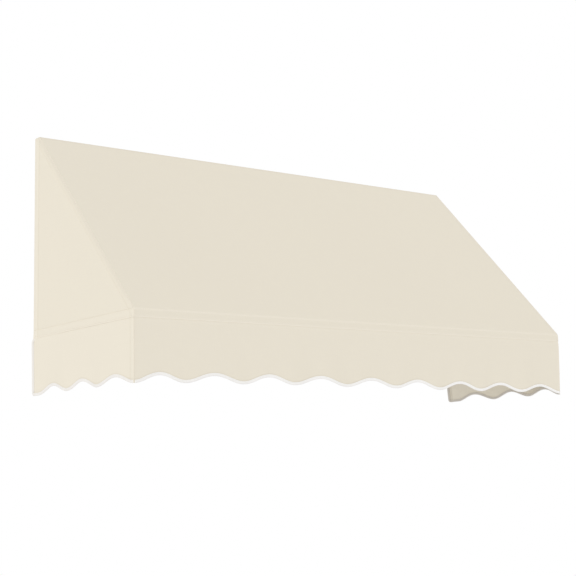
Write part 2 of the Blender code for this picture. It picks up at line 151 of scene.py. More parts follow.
def add(tree, kind, settings=None, inputs=None):
    node = tree.nodes.new(kind)
    for name, value in (settings or {}).items():
        setattr(node, name, value)
    fill(tree, node, inputs or {})
    return node


def new_material(name):
    """A material and its node tree, which starts with Blender's Principled shader."""
    material = bpy.data.materials.new(name)
    material.use_nodes = True
    return material, material.node_tree


def colour(code):
    linear = []
    for i in (1, 3, 5):
        tone = int(code[i : i + 2], 16) / 255
        linear.append(tone / 12.92 if tone <= 0.04045 else ((tone + 0.055) / 1.055) ** 2.4)
    return (*linear, 1.0)


print("cream canvas in linear light:", [round(tone, 3) for tone in colour("#EBE3D3")])

# %% [markdown]
# ## Light, background and floor
# The picture has soft, nearly shadowless studio light on a white ground. Light of one strength
# from all round does most of that. A broad lamp from the left and the front makes the wing a
# little brighter than the slope, as it is in the picture, and leaves the inside of the far
# valance darker. The world is pure white to the camera and in reflections only, through Light
# Path, so that the ground is white without more light on the awning.

# %% Light the studio
AMBIENT = 0.76
KEY_STRENGTH = 0.98
KEY_FROM = Vector((-0.230, -0.170, 0.060))
KEY_ANGLE = math.radians(35)
WHITE = (1, 1, 1, 1)

bpy.context.scene.view_settings.view_transform = "Standard"
world = bpy.data.worlds.new("studio")
bpy.context.scene.world = world
world.use_nodes = True
tree = world.node_tree
tree.nodes.clear()
ray = add(tree, "ShaderNodeLightPath").outputs
seen = ray["Is Camera Ray"]
for kind in ("Is Glossy Ray", "Is Transmission Ray"):
    seen = add(tree, "ShaderNodeMath", {"operation": "MAXIMUM"}, {0: seen, 1: ray[kind]})
strength = add(tree, "ShaderNodeMapRange", {}, {"Value": seen, "To Min": AMBIENT, "To Max": 1.0})
sky = add(tree, "ShaderNodeBackground", {}, {"Color": WHITE, "Strength": strength})
add(tree, "ShaderNodeOutputWorld", {}, {"Surface": sky})

key = put_in_scene("key", bpy.data.lights.new("key", "SUN"))
key.data.energy = KEY_STRENGTH
key.data.angle = KEY_ANGLE
key.rotation_mode = "QUATERNION"
key.rotation_quaternion = KEY_FROM.to_track_quat("Z", "Y")
print("light of", AMBIENT, "from all round and a key of", KEY_STRENGTH)

# %% [markdown]
# The floor is the pavement's stand-in, as far below the awning as a street is. It is pale and
# matt, and takes the awning's soft shadow. To the camera it is lifted to white, and it fades
# into the white ground further out, so that no horizon cuts through the picture. Seen from
# underneath it is clear, because a camera may look up at the awning from there.

# %% Lay the floor
FLOOR_Z = -2.6
FLOOR_HALF = 9.0
FADE_FROM = 3.0
FADE_TO = 7.0
LIFT = 0.26  # what the camera sees more than the light that falls on the floor

mesh = bpy.data.meshes.new("floor")
bm = bmesh.new()
bmesh.ops.create_grid(bm, x_segments=1, y_segments=1, size=FLOOR_HALF)
bmesh.ops.translate(bm, verts=bm.verts, vec=(0, FRONT_Y / 2, FLOOR_Z))
bm.to_mesh(mesh)
bm.free()
floor = put_in_scene("floor", mesh)
paint, tree = new_material("pale matt floor")
mesh.materials.append(paint)
tree.nodes.clear()
ray = add(tree, "ShaderNodeLightPath").outputs
place = add(tree, "ShaderNodeTexCoord")
on_plan = add(tree, "ShaderNodeVectorMath", {"operation": "MULTIPLY"}, {
    0: place.outputs["Object"],
    1: (1, 1, 0),
})
reach = add(tree, "ShaderNodeVectorMath", {"operation": "LENGTH"}, {0: on_plan})
fade = add(tree, "ShaderNodeMapRange", {"interpolation_type": "SMOOTHSTEP"}, {
    "Value": reach.outputs["Value"],
    "From Min": FADE_FROM,
    "From Max": FADE_TO,
})
matt = add(tree, "ShaderNodeBsdfDiffuse", {}, {"Color": colour("#F4F4F3")})
lift = add(tree, "ShaderNodeMath", {"operation": "MULTIPLY"}, {0: ray["Is Camera Ray"], 1: LIFT})
glow = add(tree, "ShaderNodeEmission", {}, {"Color": WHITE, "Strength": lift})
near = add(tree, "ShaderNodeAddShader", {}, {0: matt, 1: glow})
ground = add(tree, "ShaderNodeMapRange", {}, {
    "Value": ray["Is Camera Ray"],
    "To Min": AMBIENT,
    "To Max": 1.0,
})
far = add(tree, "ShaderNodeEmission", {}, {"Color": WHITE, "Strength": ground})
from_above = add(tree, "ShaderNodeMixShader", {}, {0: fade.outputs["Result"], 1: near, 2: far})
side = add(tree, "ShaderNodeNewGeometry")
clear = add(tree, "ShaderNodeBsdfTransparent")
shown = add(tree, "ShaderNodeMixShader", {}, {
    0: side.outputs["Backfacing"],
    1: from_above,
    2: clear,
})
add(tree, "ShaderNodeOutputMaterial", {}, {"Surface": shown})
print("floor", FLOOR_Z, "m below the wall fixings")

# %% [markdown]
# ## Canvas
# The cover is solution-dyed acrylic canvas in a plain weave, about 22 threads to the centimetre.
# It is dull, with a faint bloom where light grazes its fibres. Real threads are 0.45 mm apart,
# which is a tenth of a pixel here, so the weave is drawn four times as coarse, faintly, and
# thicker yarns run through it both ways as slubs. Each panel carries its own map in metres, as
# it lay on the cutting table, and the weave follows that map round every fold. Its colour is
# painted lighter and darker in places, as painted light and painted shade: lighter along hems,
# folds and doubled strips, darker in the seams, beside the rafters and above the tape. The panels
# say how much in an attribute named `shade`, which is 1 at the lightest and -1 at the darkest.

# %% Weave the canvas
THREAD = 0.0018
SLUB_LONG = 0.060
SLUB_WIDE = 0.0011
WEAVE_SHARE = 0.25  # how high the weave stands beside the slubs


def make_canvas():
    material, tree = new_material("solution-dyed acrylic canvas")
    cut = add(tree, "ShaderNodeUVMap", {"uv_map": "cut"})
    swing = []
    for direction in ("X", "Y"):
        wave = add(tree, "ShaderNodeTexWave", {"bands_direction": direction}, {
            "Vector": cut,
            "Scale": math.pi / (10 * THREAD),
        })
        swing.append(add(tree, "ShaderNodeMath", {"operation": "MULTIPLY_ADD"}, {
            0: wave.outputs["Fac"],
            1: 2.0,
            2: -1.0,
        }))
    weave = add(tree, "ShaderNodeMath", {"operation": "MULTIPLY"}, {0: swing[0], 1: swing[1]})
    slubs = []
    for scale in ((SLUB_LONG, SLUB_WIDE, 1), (SLUB_WIDE, SLUB_LONG, 1)):
        stretch = add(tree, "ShaderNodeMapping", {"vector_type": "TEXTURE"}, {
            "Vector": cut,
            "Scale": scale,
        })
        slubs.append(add(tree, "ShaderNodeTexNoise", {"noise_dimensions": "2D"}, {
            "Vector": stretch,
            "Scale": 1.0,
            "Detail": 2.0,
        }))
    slub = add(tree, "ShaderNodeMath", {"operation": "ADD"}, {0: slubs[0], 1: slubs[1]})
    height = add(tree, "ShaderNodeMath", {"operation": "MULTIPLY_ADD"}, {
        0: weave,
        1: WEAVE_SHARE,
        2: slub,
    })
    tone = add(tree, "ShaderNodeMapRange", {}, {
        "Value": slub,
        "From Min": 0.6,
        "From Max": 1.4,
    })
    cream = add(tree, "ShaderNodeMix", {"data_type": "RGBA"}, {
        0: tone.outputs["Result"],
        6: colour("#EBE3D3"),
        7: colour("#EDE6D5"),
    })
    # Painted light and shade: `shade` mixes the cream towards a lighter colour and a darker one.
    shade = add(tree, "ShaderNodeAttribute", {"attribute_name": "shade"})
    lighter = add(tree, "ShaderNodeMix", {"data_type": "RGBA"}, {
        0: shade.outputs["Fac"],
        6: cream.outputs[2],
        7: colour("#F8F1E4"),
    })
    shadow = add(tree, "ShaderNodeMath", {"operation": "MULTIPLY"}, {
        0: shade.outputs["Fac"],
        1: -1.0,
    })
    darker = add(tree, "ShaderNodeMix", {"data_type": "RGBA"}, {
        0: shadow,
        6: lighter.outputs[2],
        7: colour("#DED6C6"),
    })
    bump = add(tree, "ShaderNodeBump", {}, {"Strength": 0.5, "Distance": 0.0003, "Height": height})
    fill(tree, tree.nodes["Principled BSDF"], {
        "Base Color": darker.outputs[2],
        "Normal": bump,
        "Roughness": 0.9,
        "Specular IOR Level": 0.2,
        "Sheen Weight": 0.06,
        "Sheen Roughness": 0.5,
    })
    return material


canvas = make_canvas()
print("canvas:", canvas.name)

# %% [markdown]
# ## Edging tape and thread
# The tape is a white polyester binding, woven narrow with ribs across it and folded over the
# edge of the valance. It is smoother than the canvas and so a little brighter. The crease is
# painted greyer, and the back, which faces inwards, darker still, both as painted shade. Up the
# wall ends, on the left side a little and towards the left end of the front, the tape is painted
# duller, as painted shade: `shade` is 1 where it is dullest. The seams are sewn with bonded
# polyester thread, cream on the canvas and white on the tape. The ribs are drawn 1 mm apart,
# twice as coarse as they are.

# %% Weave the tape and spin the thread
RIB = 0.001
FOLD_FROM = 0.0058  # where the crease starts, measured round the tape from its outer edge
BACK_FROM = 0.0120  # and where the back of the tape starts
FOLD_SOFT = 0.001  # each of them comes in over this much on either side


def make_tape():
    material, tree = new_material("woven polyester binding")
    cut = add(tree, "ShaderNodeUVMap", {"uv_map": "cut"})
    rib = add(tree, "ShaderNodeTexWave", {"bands_direction": "X"}, {
        "Vector": cut,
        "Scale": math.pi / (10 * RIB),
        "Distortion": 0.4,
        "Detail Scale": 0.5,
    })
    soft = add(tree, "ShaderNodeTexNoise", {"noise_dimensions": "2D"}, {
        "Vector": cut,
        "Scale": 180.0,
        "Detail": 2.0,
    })
    face = add(tree, "ShaderNodeMix", {"data_type": "RGBA"}, {
        0: soft.outputs["Fac"],
        6: colour("#FEFCF9"),
        7: colour("#FFFEFC"),
    })
    round_it = add(tree, "ShaderNodeSeparateXYZ", {}, {0: cut})
    past = []
    for start in (FOLD_FROM, BACK_FROM):
        past.append(add(tree, "ShaderNodeMapRange", {"interpolation_type": "SMOOTHSTEP"}, {
            "Value": round_it.outputs["Y"],
            "From Min": start - FOLD_SOFT,
            "From Max": start + FOLD_SOFT,
        }))
    # Painted shade: the crease is painted greyer.
    fold = add(tree, "ShaderNodeMix", {"data_type": "RGBA"}, {
        0: past[0].outputs["Result"],
        6: face.outputs[2],
        7: colour("#FAF8F6"),
    })
    # Painted shade: where `shade` is 1 the tape is painted duller.
    dull = add(tree, "ShaderNodeAttribute", {"attribute_name": "shade"})
    painted_dull = add(tree, "ShaderNodeMix", {"data_type": "RGBA"}, {
        0: dull.outputs["Fac"],
        6: fold.outputs[2],
        7: colour("#EFEBE5"),
    })
    # Painted shade: the back of the tape, on the inner face, is painted darker.
    tone = add(tree, "ShaderNodeMix", {"data_type": "RGBA"}, {
        0: past[1].outputs["Result"],
        6: painted_dull.outputs[2],
        7: colour("#D3CCC2"),
    })
    height = add(tree, "ShaderNodeMath", {"operation": "MULTIPLY_ADD"}, {
        0: soft.outputs["Fac"],
        1: 1.5,
        2: rib.outputs["Fac"],
    })
    bump = add(tree, "ShaderNodeBump", {}, {"Strength": 0.4, "Distance": 0.0002, "Height": height})
    fill(tree, tree.nodes["Principled BSDF"], {
        "Base Color": tone.outputs[2],
        "Normal": bump,
        "Roughness": 0.75,
        "Specular IOR Level": 0.5,
        "Sheen Weight": 0.05,
    })
    return material


def make_thread(name, tint):
    material, tree = new_material(name)
    place = add(tree, "ShaderNodeTexCoord")
    ply = add(tree, "ShaderNodeTexNoise", {}, {
        "Vector": place.outputs["Object"],
        "Scale": 900.0,
        "Detail": 1.0,
    })
    tone = add(tree, "ShaderNodeMix", {"data_type": "RGBA"}, {
        0: ply.outputs["Fac"],
        6: colour(tint[0]),
        7: colour(tint[1]),
    })
    fill(tree, tree.nodes["Principled BSDF"], {"Base Color": tone.outputs[2], "Roughness": 0.55})
    return material


tape_white = make_tape()
cream_thread = make_thread("bonded polyester thread, cream", ("#D9D0BC", "#E9E1CF"))
white_thread = make_thread("bonded polyester thread, white", ("#E4E0DC", "#F2EFEC"))
print("tape and thread:", tape_white.name, "and", cream_thread.name)

# %% [markdown]
# ## The line that the cover follows
# Seen from the side, the long top panel is one strip that goes up the front of the band, over
# the eave, up the slope, over the header and down behind it. Cloth doesn't fold to a knife
# edge round a tube, so each bend is an arc. The line is kept as a list of runs, each with a
# start, a heading, a length and a curvature, and `Line.at` walks along it. A straight line is
# a run whose curvature is nothing.

# %% Draw the side line
EAVE_ROUND = 0.018
NOSE_ROUND = 0.004
REAR_ROUND = 0.0015
BEND_STEPS = 8
EAVE_BEND, SLOPE_RUN, NOSE_BEND, TOP_RUN, REAR_BEND = range(1, 6)  # which run is which


class Line:
    def __init__(self, corners, rounds):
        self.runs = []
        corners = [Vector(corner) for corner in corners]
        start = corners[0]
        for i, corner in enumerate(corners[1:]):
            step = corner - start
            heading = math.atan2(step.y, step.x)
            trim = 0.0
            if i < len(rounds):
                after = corners[i + 2] - corner
                turn = math.atan2(after.y, after.x) - heading
                trim = rounds[i] * math.tan(abs(turn) / 2)
            self.runs.append((start.copy(), heading, step.length - trim, 0.0))
            if trim:
                bend = start + step.normalized() * (step.length - trim)
                curve = math.copysign(1 / rounds[i], turn)
                self.runs.append((bend, heading, abs(turn) * rounds[i], curve))
                start = corner + after.normalized() * trim
        self.length = sum(run[2] for run in self.runs)

    def at(self, s):
        """The point at a distance along the line, and the direction that faces outwards there."""
        for run in self.runs:
            if s <= run[2] or run is self.runs[-1]:
                break
            s -= run[2]
        start, heading, _, curve = run
        now = heading + curve * s
        if curve:
            y = start.x + (math.sin(now) - math.sin(heading)) / curve
            z = start.y - (math.cos(now) - math.cos(heading)) / curve
        else:
            y = start.x + s * math.cos(heading)
            z = start.y + s * math.sin(heading)
        return Vector((y, z)), Vector((-math.sin(now), math.cos(now)))

    def ends(self, i):
        """Where a run starts and ends, as distances along the line."""
        before = sum(run[2] for run in self.runs[:i])
        return before, before + self.runs[i][2]

    def round_bend(self, i):
        """Places round a bend, close enough together to look round."""
        start, end = self.ends(i)
        return [start + (end - start) * k / BEND_STEPS for k in range(BEND_STEPS + 1)]


side_line = Line(
    [
        (FRONT_Y, BAND_Z),
        (FRONT_Y, EAVE_Z),
        (NOSE_Y, TOP_Z),
        (REAR_Y, TOP_Z),
        (REAR_Y, TOP_Z - RETURN),
    ],
    [EAVE_ROUND, NOSE_ROUND, REAR_ROUND],
)
EAVE_S = sum(side_line.ends(EAVE_BEND)) / 2  # the middle of the eave's bend
SLOPE_FROM, SLOPE_TO = side_line.ends(SLOPE_RUN)
HEAD_S = side_line.ends(TOP_RUN)[1]  # where the flat top ends at the wall
print(f"the top panel is cut {side_line.length * 1000:.0f} mm long")

# %% [markdown]
# ## How seams shape the cloth
# A seam isn't only a line of thread. The needle pulls the cloth into a shallow valley, the
# layers under it lift a strip on one side, and where two panels are joined along an edge both
# roll over into the seam. `valley`, `strip` and `roll` give those three for a distance from the
# seam, and each panel adds up the ones that it needs. `line` is a thin mark of shade. `spread`
# makes the grid lines for a panel: even ones, with finer ones added round each seam.

# %% Shape the seams
EDGE_ROUND = 0.002
SEAM_INSET = EDGE_ROUND * (1 - math.cos(math.pi / 4))  # from the outer corner in to the seam
SEAM_DIP = 0.0008
SEAM_DIP_WIDE = 0.0012
VALLEY = 0.0005
VALLEY_HALF = 0.0016
SHALLOW = 0.4  # a row that pulls less, as a share of a full valley
STRIP = 0.020  # width of the layers that lie under the cloth beside a seam
HEM = 0.027  # width of the hem down the wall end
STRIP_RISE = 0.0003
STRIP_SOFT = 0.0024  # the edge of a strip comes in over this much
LINE_HALF = 0.0025
BROAD_HALF = 0.0035
CLOSEST = 0.00025  # grid lines nearer than this to the one before are left out
NEAR_SEAM = (-0.005, -0.0025, -0.0015, -0.0008, 0, 0.0008, 0.0015, 0.0025, 0.005)
NEAR_EDGE = (0, 0.0003, 0.0006, 0.001, 0.0015, 0.0021, 0.003, 0.006)


def roll(distance):
    """How deep a face lies near a joined edge: an eighth of a circle, and the seam's dip."""
    flat_from = EDGE_ROUND * math.sin(math.pi / 4)
    if distance >= flat_from:
        return 0.0
    across = flat_from - distance
    dip = SEAM_DIP * max(0.0, 1 - distance / SEAM_DIP_WIDE) ** 2
    return EDGE_ROUND - math.sqrt(EDGE_ROUND**2 - across**2) + dip


def valley(distance):
    return VALLEY * math.exp(-((distance / VALLEY_HALF) ** 2))


def smooth(value):
    value = min(1.0, max(0.0, value))
    return value * value * (3 - 2 * value)


def strip(distance):
    """1 on a doubled strip, whose edge the distance is measured from, and 0 off it."""
    return smooth(0.5 - distance / STRIP_SOFT)


def line(distance, half=LINE_HALF):
    """1 on a thin line and next to nothing a few millimetres from it."""
    return math.exp(-((distance / half) ** 2))


def add_up(marks):
    """The shade that marks give together, each with how much it lightens the cloth."""
    return sum(weight * amount for weight, amount in marks)


def apart(values, gap):
    """The values in order, without those that lie within the gap of the one before."""
    ordered = sorted(values)
    kept = [ordered[0]]
    for value in ordered[1:]:
        if value - kept[-1] > gap:
            kept.append(value)
    return kept


def spread(start, end, step, seams=(), offsets=NEAR_SEAM):
    count = max(1, round((end - start) / step))
    values = {start + (end - start) * i / count for i in range(count + 1)} | {start}
    for seam in seams:
        values.update(seam + offset for offset in offsets)
    return apart([v for v in values if v >= start and end - v > CLOSEST], CLOSEST) + [end]


print(f"joined edges roll over {EDGE_ROUND * 1000:.0f} mm, seams lie {SEAM_INSET * 1000:.2f} mm in")

# %% [markdown]
# ## From a grid to a sheet of cloth
# A panel starts as rows of points on its outer face. `Sheet` joins rows into faces and keeps,
# for each point, its place on the cutting table as a UV map and its shade. Solidify
# then gives it the thickness of the cloth, inwards. The modifiers are evaluated at once and
# the result kept as a plain mesh.

# %% Make sheets from grids


class Sheet:
    def __init__(self):
        self.bm = bmesh.new()
        self.uv = self.bm.loops.layers.uv.new("cut")
        self.shade = self.bm.verts.layers.float.new("shade")
        self.cut = {}

    def grid(self, rows):
        """rows holds (point, place on the cutting table, shade) for each corner of the grid."""
        made = []
        for row in rows:
            verts = []
            for point, cut, shade in row:
                vert = self.bm.verts.new(point)
                vert[self.shade] = shade
                self.cut[vert] = cut
                verts.append(vert)
            made.append(verts)
        for low, high in zip(made, made[1:]):
            for i in range(len(low) - 1):
                face = self.bm.faces.new((low[i], low[i + 1], high[i + 1], high[i]))
                for loop in face.loops:
                    loop[self.uv].uv = self.cut[loop.vert]
        return made

    def finish(self, name, material, flip=False):
        bmesh.ops.remove_doubles(self.bm, verts=self.bm.verts, dist=0.00001)
        if flip:
            bmesh.ops.reverse_faces(self.bm, faces=self.bm.faces)
        mesh = bpy.data.meshes.new(name)
        self.bm.to_mesh(mesh)
        self.bm.free()
        mesh.materials.append(material)
        return put_in_scene(name, mesh)


def thicken(item, thickness, offset):
    solid = item.modifiers.new("Thickness", "SOLIDIFY")
    solid.thickness = thickness
    solid.offset = offset
    solid.use_even_offset = True


def settle(item):
    """Swaps an object's modifiers for the plain mesh that they give."""
    graph = bpy.context.evaluated_depsgraph_get()
    mesh = bpy.data.meshes.new_from_object(
        item.evaluated_get(graph), preserve_all_data_layers=True, depsgraph=graph
    )
    item.modifiers.clear()
    item.data = mesh
    mesh.shade_smooth()
    mesh.set_sharp_from_angle(angle=math.radians(50))
    return item


print("sheets are", CLOTH * 1000, "mm thick")

# %% [markdown]
# ## The top panel
# One length of canvas covers the front band, the slope and the header. Over the two open bays
# between the rafters it hangs a few millimetres hollow, as cloth under tension does, and it
# lies on the three rafters. Its side edges roll over into the seams with the wings. The seam
# at the eave and the one at the foot of the band show as two fine light lines in the picture,
# and the seams down its sides as dark ones.

# %% Sew the top panel
SLOPE_SAG = 0.003
FOOT_ROW = 0.004  # from the foot of the band up to its row of stitches
HEM_ROW = 0.004  # from the free edge of a turned-in flap to its stitches
FLAP_DOUBLED = 0.012  # how wide the free edge of a flap is doubled
GRID_STEP = 0.012
rafter_low, rafter_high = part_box("right_rafter")
RAFTER_X = (rafter_low.x + rafter_high.x) / 2


def slope_sag(x, s):
    along = (s - SLOPE_FROM) / (SLOPE_TO - SLOPE_FROM)
    if not 0 < along < 1:
        return 0.0
    bay = min(1.0, abs(x) / RAFTER_X)
    return SLOPE_SAG * math.sin(math.pi * bay) ** 2 * math.sin(math.pi * along)


# Painted light and shade on the top panel: the band, the doubled flap edge and the lines at the
# eave and the foot are painted lighter; the nose and the seams down the sides painted darker.
def top_shade(x, s, beside):
    marks = [
        (0.06, strip(s - EAVE_S)),
        (0.35, strip(side_line.length - s - FLAP_DOUBLED)),
        (0.40, line(s - EAVE_S)),
        (0.45, line(s - FOOT_ROW / 2, BROAD_HALF)),
        (-0.35, line(s - SLOPE_TO, 0.006)),
    ]
    if s <= EAVE_S:
        marks.append((-0.55, line(beside)))
    elif x > 0:
        marks.append((-0.25, line(beside, 0.008)))
    else:
        marks.append((-0.50, line(beside)))
    return add_up(marks)


def make_top_panel():
    edge = HALF - SEAM_INSET
    columns = spread(-edge, edge, GRID_STEP, (-edge,), NEAR_EDGE)
    columns = sorted(set(columns) | {-x for x in columns})
    seams = (FOOT_ROW, EAVE_S, side_line.length - HEM_ROW)
    lines = set(spread(0, side_line.length, GRID_STEP, seams))
    for bend in (EAVE_BEND, NOSE_BEND, REAR_BEND):
        lines.update(side_line.round_bend(bend))
    rows = []
    for s in sorted(lines):
        (y, z), (out_y, out_z) = side_line.at(s)
        row = []
        for x in columns:
            beside = edge - abs(x)
            depth = roll(beside) + slope_sag(x, s) + valley(s - seams[2])
            depth += SHALLOW * (valley(s - FOOT_ROW) + valley(s - EAVE_S))
            point = lean((x, y - out_y * depth, z - out_z * depth))
            row.append((point, (x, s), top_shade(x, s, beside)))
        rows.append(row)
    sheet = Sheet()
    sheet.grid(rows)
    item = sheet.finish("top_panel_canvas", canvas)
    thicken(item, CLOTH, -1)
    return settle(item)


top_panel = make_top_panel()
print("top panel:", len(top_panel.data.polygons), "faces")

# %% [markdown]
# ## The wings
# A wing is cut as a tall triangle with a narrow band under it and a flap that turns in behind
# the upright. Its grid has one row for each height, from the wall to the line of the seam. How
# deep a point lies is worked out from its real distance to that line, so the rolled edge and
# the row of stitches beside it run at an even distance down the slope and round the eave.

# %% Cut the wings
WING_SAG = 0.002
RAFTER_SHADE = 0.021  # how far in from its seam the wing is painted darker, painted shade grading into the slope
TURN_STEPS = 5  # round the turn into the flap
WING_COLUMNS = 36
FLAP_TOP = TOP_Z - RETURN - GAP


def wing_border():
    """The seam between wing and top panel, from the foot of the band to the wall, as (y, z)."""
    points = []
    places = spread(0, HEAD_S, GRID_STEP, (EAVE_S, SLOPE_TO))
    for s in places + side_line.round_bend(EAVE_BEND) + side_line.round_bend(NOSE_BEND):
        place, out = side_line.at(s)
        points.append(place - out * SEAM_INSET)
    points.sort(key=lambda point: (round(point.y, 6), point.x))
    return points


BORDER = wing_border()
BORDER_TOP = BORDER[-1].y


def border_distance(point):
    best = 1.0
    for a, b in zip(BORDER, BORDER[1:]):
        run = b - a
        if run.length < 1e-7:
            continue
        t = min(1.0, max(0.0, (point - a).dot(run) / run.length_squared))
        best = min(best, (point - a - run * t).length)
    return best


def border_y(z):
    for a, b in zip(BORDER, BORDER[1:]):
        if a.y <= z <= b.y and b.y > a.y:
            return a.x + (b.x - a.x) * (z - a.y) / (b.y - a.y)
    return BORDER[0].x if z < BORDER[0].y else BORDER[-1].x


def wing_depth(y, z):
    """How deep the wing's face lies, and its shade."""
    seam = border_distance(Vector((y, z)))
    wall = REAR_Y - y
    rising = smooth((z - EAVE_Z) / 0.08)  # 0 on the band, 1 well above the eave
    hem = strip(wall - HEM)
    band = strip(z - EAVE_Z)
    depth = roll(seam) + 0.5 * valley(seam - STRIP) + valley(wall - HEM)
    depth += valley(z - EAVE_Z) + SHALLOW * valley(z - BAND_Z - FOOT_ROW)
    depth -= STRIP_RISE * max(hem, band) * smooth((seam - 0.001) / 0.002)
    open_cloth = smooth((seam - 0.03) / 0.15) * smooth((wall - 0.04) / 0.15)
    open_cloth *= smooth((z - EAVE_Z) / 0.1)
    # Painted light and shade: the hem, the band and the line at its foot are painted lighter; the
    # line inside the hem and the seam painted darker, and above the eave the wing is painted darker
    # towards the seam, grading into the slope's tone.
    shade = add_up([
        (0.22, hem),
        (-0.30, line(wall - HEM)),
        (0.08, band),
        (-0.42 * rising, 1 - smooth(seam / RAFTER_SHADE)),
        (0.45 * rising - 0.55, line(seam)),
        (0.30, line(z - BAND_Z - FOOT_ROW / 2, BROAD_HALF)),
        (0.08 * rising - 0.08, line(seam - STRIP)),
    ])
    return depth + WING_SAG * open_cloth, shade


def squeeze(values, width):
    """Brings distances from an edge closer together where they need nearly half of the width."""
    shrink = min(1.0, 0.45 * width / values[-1])
    return [value * shrink for value in values]


def wing_columns(width, steep):
    """Distances from the seam to the wall end: as many in every row, closer where it is narrow."""
    front = sorted(set(NEAR_EDGE) | {(STRIP + offset) / steep for offset in NEAR_SEAM})
    front = squeeze(front, width)
    back = sorted({HEM - REAR_ROUND - offset for offset in NEAR_SEAM} | {0.0})
    back = [width - value for value in reversed(squeeze(back, width))]
    step = (back[0] - front[-1]) / WING_COLUMNS
    return front + [front[-1] + step * k for k in range(1, WING_COLUMNS)] + back


def turned_in(depth, shade, z):
    """The turn from a wing into its flap, at one height."""
    places = []
    for k in range(1, TURN_STEPS + 1):
        angle = math.pi / 2 * k / TURN_STEPS
        x = HALF - REAR_ROUND * (1 - math.cos(angle)) - depth * (1 - k / TURN_STEPS)
        y = REAR_Y - REAR_ROUND * (1 - math.sin(angle))
        places.append(((x, y, z), (REAR_Y - REAR_ROUND * (1 - angle), z), shade))
    return places


def flap_row(z):
    places = []
    for x in spread(REAR_ROUND, RETURN, 0.006, (RETURN - HEM_ROW,)):
        depth = valley(RETURN - HEM_ROW - x)
        cut = REAR_Y + REAR_ROUND * (math.pi / 2 - 2) + x
        # Painted light: the doubled free edge of the flap is painted lighter.
        shade = strip(RETURN - FLAP_DOUBLED - x)
        places.append(((HALF - x, REAR_Y - depth, z), (cut, z), shade))
    return places


def wing_rows():
    """The right wing's grid, and that of the flap behind its upright."""
    seams = (BAND_Z + FOOT_ROW, EAVE_Z, FLAP_TOP)
    heights = set(spread(BAND_Z, BORDER_TOP, 0.010, seams))
    heights |= {point.y for point in BORDER} | {BORDER_TOP - offset for offset in NEAR_EDGE}
    main, flap = [], []
    for z in apart(heights, 0.0001):
        y_front = border_y(z)
        steep = math.sin(PITCH) if z > EAVE_Z else 1.0
        row = []
        for t in wing_columns(REAR_Y - REAR_ROUND - y_front, steep):
            y = y_front + t
            depth, shade = wing_depth(y, z)
            row.append(((HALF - depth, y, z), (y, z), shade))
        main.append(row + turned_in(depth, shade, z))
        if z <= FLAP_TOP:
            flap.append(flap_row(z))
    return main, flap


WING_GRIDS = wing_rows()


def make_wing(side, hand):
    sheet = Sheet()
    for grid in WING_GRIDS:
        rows = []
        for row in grid:
            rows.append([(lean((side * x, y, z)), cut, shade) for (x, y, z), cut, shade in row])
        sheet.grid(rows)
    item = sheet.finish(f"{hand}_wing_canvas", canvas, flip=side < 0)
    thicken(item, CLOTH, -1)
    return settle(item)


wings = {"left": make_wing(-1, "left"), "right": make_wing(1, "right")}
print("wings:", [len(wing.data.polygons) for wing in wings.values()], "faces")

# %% [markdown]
# ## Cutting a valance flat
# A valance is cut flat, edged with tape while it lies flat, and only then hung. It is made here
# in the same order. Flat, its X runs along the panel from a front corner, the left one for the
# front panel, its Z is the height and its Y points out of the cloth. The wavy edge is a cosine
# from one low point to the next, nine waves across the front and three on each side. They are
# cut by hand round a template, so the low points are neither quite evenly spaced nor all at one
# height. At the wall the edge runs level, turns up round a small arc and goes on to the band,
# and the tape goes with it.

# %% Cut the valances
SCALLOP_RISE = 0.0225
SEAM_LAP = 0.012
TAPE = 0.0006
TAPE_UP = 0.009  # how far the tape comes up each face
END_WIDER = 1.6  # the tape up the wall end is this many times as wide
TAPE_HALF = CLOTH / 2 + TAPE + 0.0002  # from the middle of the cloth to the outside of the tape
END_TURN = 0.012  # radius of the arc at the foot of the wall end
WAVE_STEPS = 40  # in each wave of the edge
ARC_STEPS = 10
RISE_STEPS = 30  # up the wall end
FINE_ROWS = 12  # rows of the grid that follow the wavy edge closely
FINE_STEP = 0.0015
VALANCE_ROWS = 18  # rows from there up to the band
VALANCE_STEP = 0.0055  # between the columns
SEAM_REACH = 0.006  # they are closer together as far as this from a seam
PLANE_OUT = LAP + CLOTH / 2  # from the outside of the cover in to the middle of a valance
CORNER_Y = FRONT_Y + LAP  # outer face of the front valance
CORNER_X = HALF - LAP
FRONT_LENGTH = 2 * CORNER_X
SIDE_LENGTH = END_Y - CORNER_Y
# Each low point: how far along the panel it is, and how much shorter the cloth is there than
# the pattern, negative where it is longer.
FRONT_LOWS = (
    (0.0, 0.0),
    (0.175, 0.0035),
    (0.388, 0.004),
    (0.583, 0.005),
    (0.798, 0.0035),
    (1.010, 0.003),
    (1.211, 0.0007),
    (1.410, 0.0),
    (1.614, 0.0),
    (FRONT_LENGTH, -0.0025),
)
LEFT_LOWS = ((0.0, 0.0), (0.206, 0.004), (0.379, 0.006), (0.559, 0.005))
RIGHT_LOWS = ((0.0, -0.0065), (0.153, -0.0015), (0.331, 0.0), (0.537, 0.006))


def wave(along, lows):
    """Height of the wavy edge: a cosine between low points, and level after the last."""
    for (start, up), (end, next_up) in zip(lows, lows[1:]):
        if along <= end:
            share = (along - start) / (end - start)
            low = EDGE_Z + up + (next_up - up) * share
            return low + SCALLOP_RISE * (1 - math.cos(2 * math.pi * share)) / 2
    return EDGE_Z + lows[-1][1]


def relief(along, length, at_wall):
    """How far the flat cloth stands out beside its corner seams, negative inwards."""
    ends = [along] if at_wall else [along, length - along]
    out = -sum(roll(end - SEAM_INSET) for end in ends)
    if at_wall:
        out -= 0.5 * valley(along - STRIP)
    return out


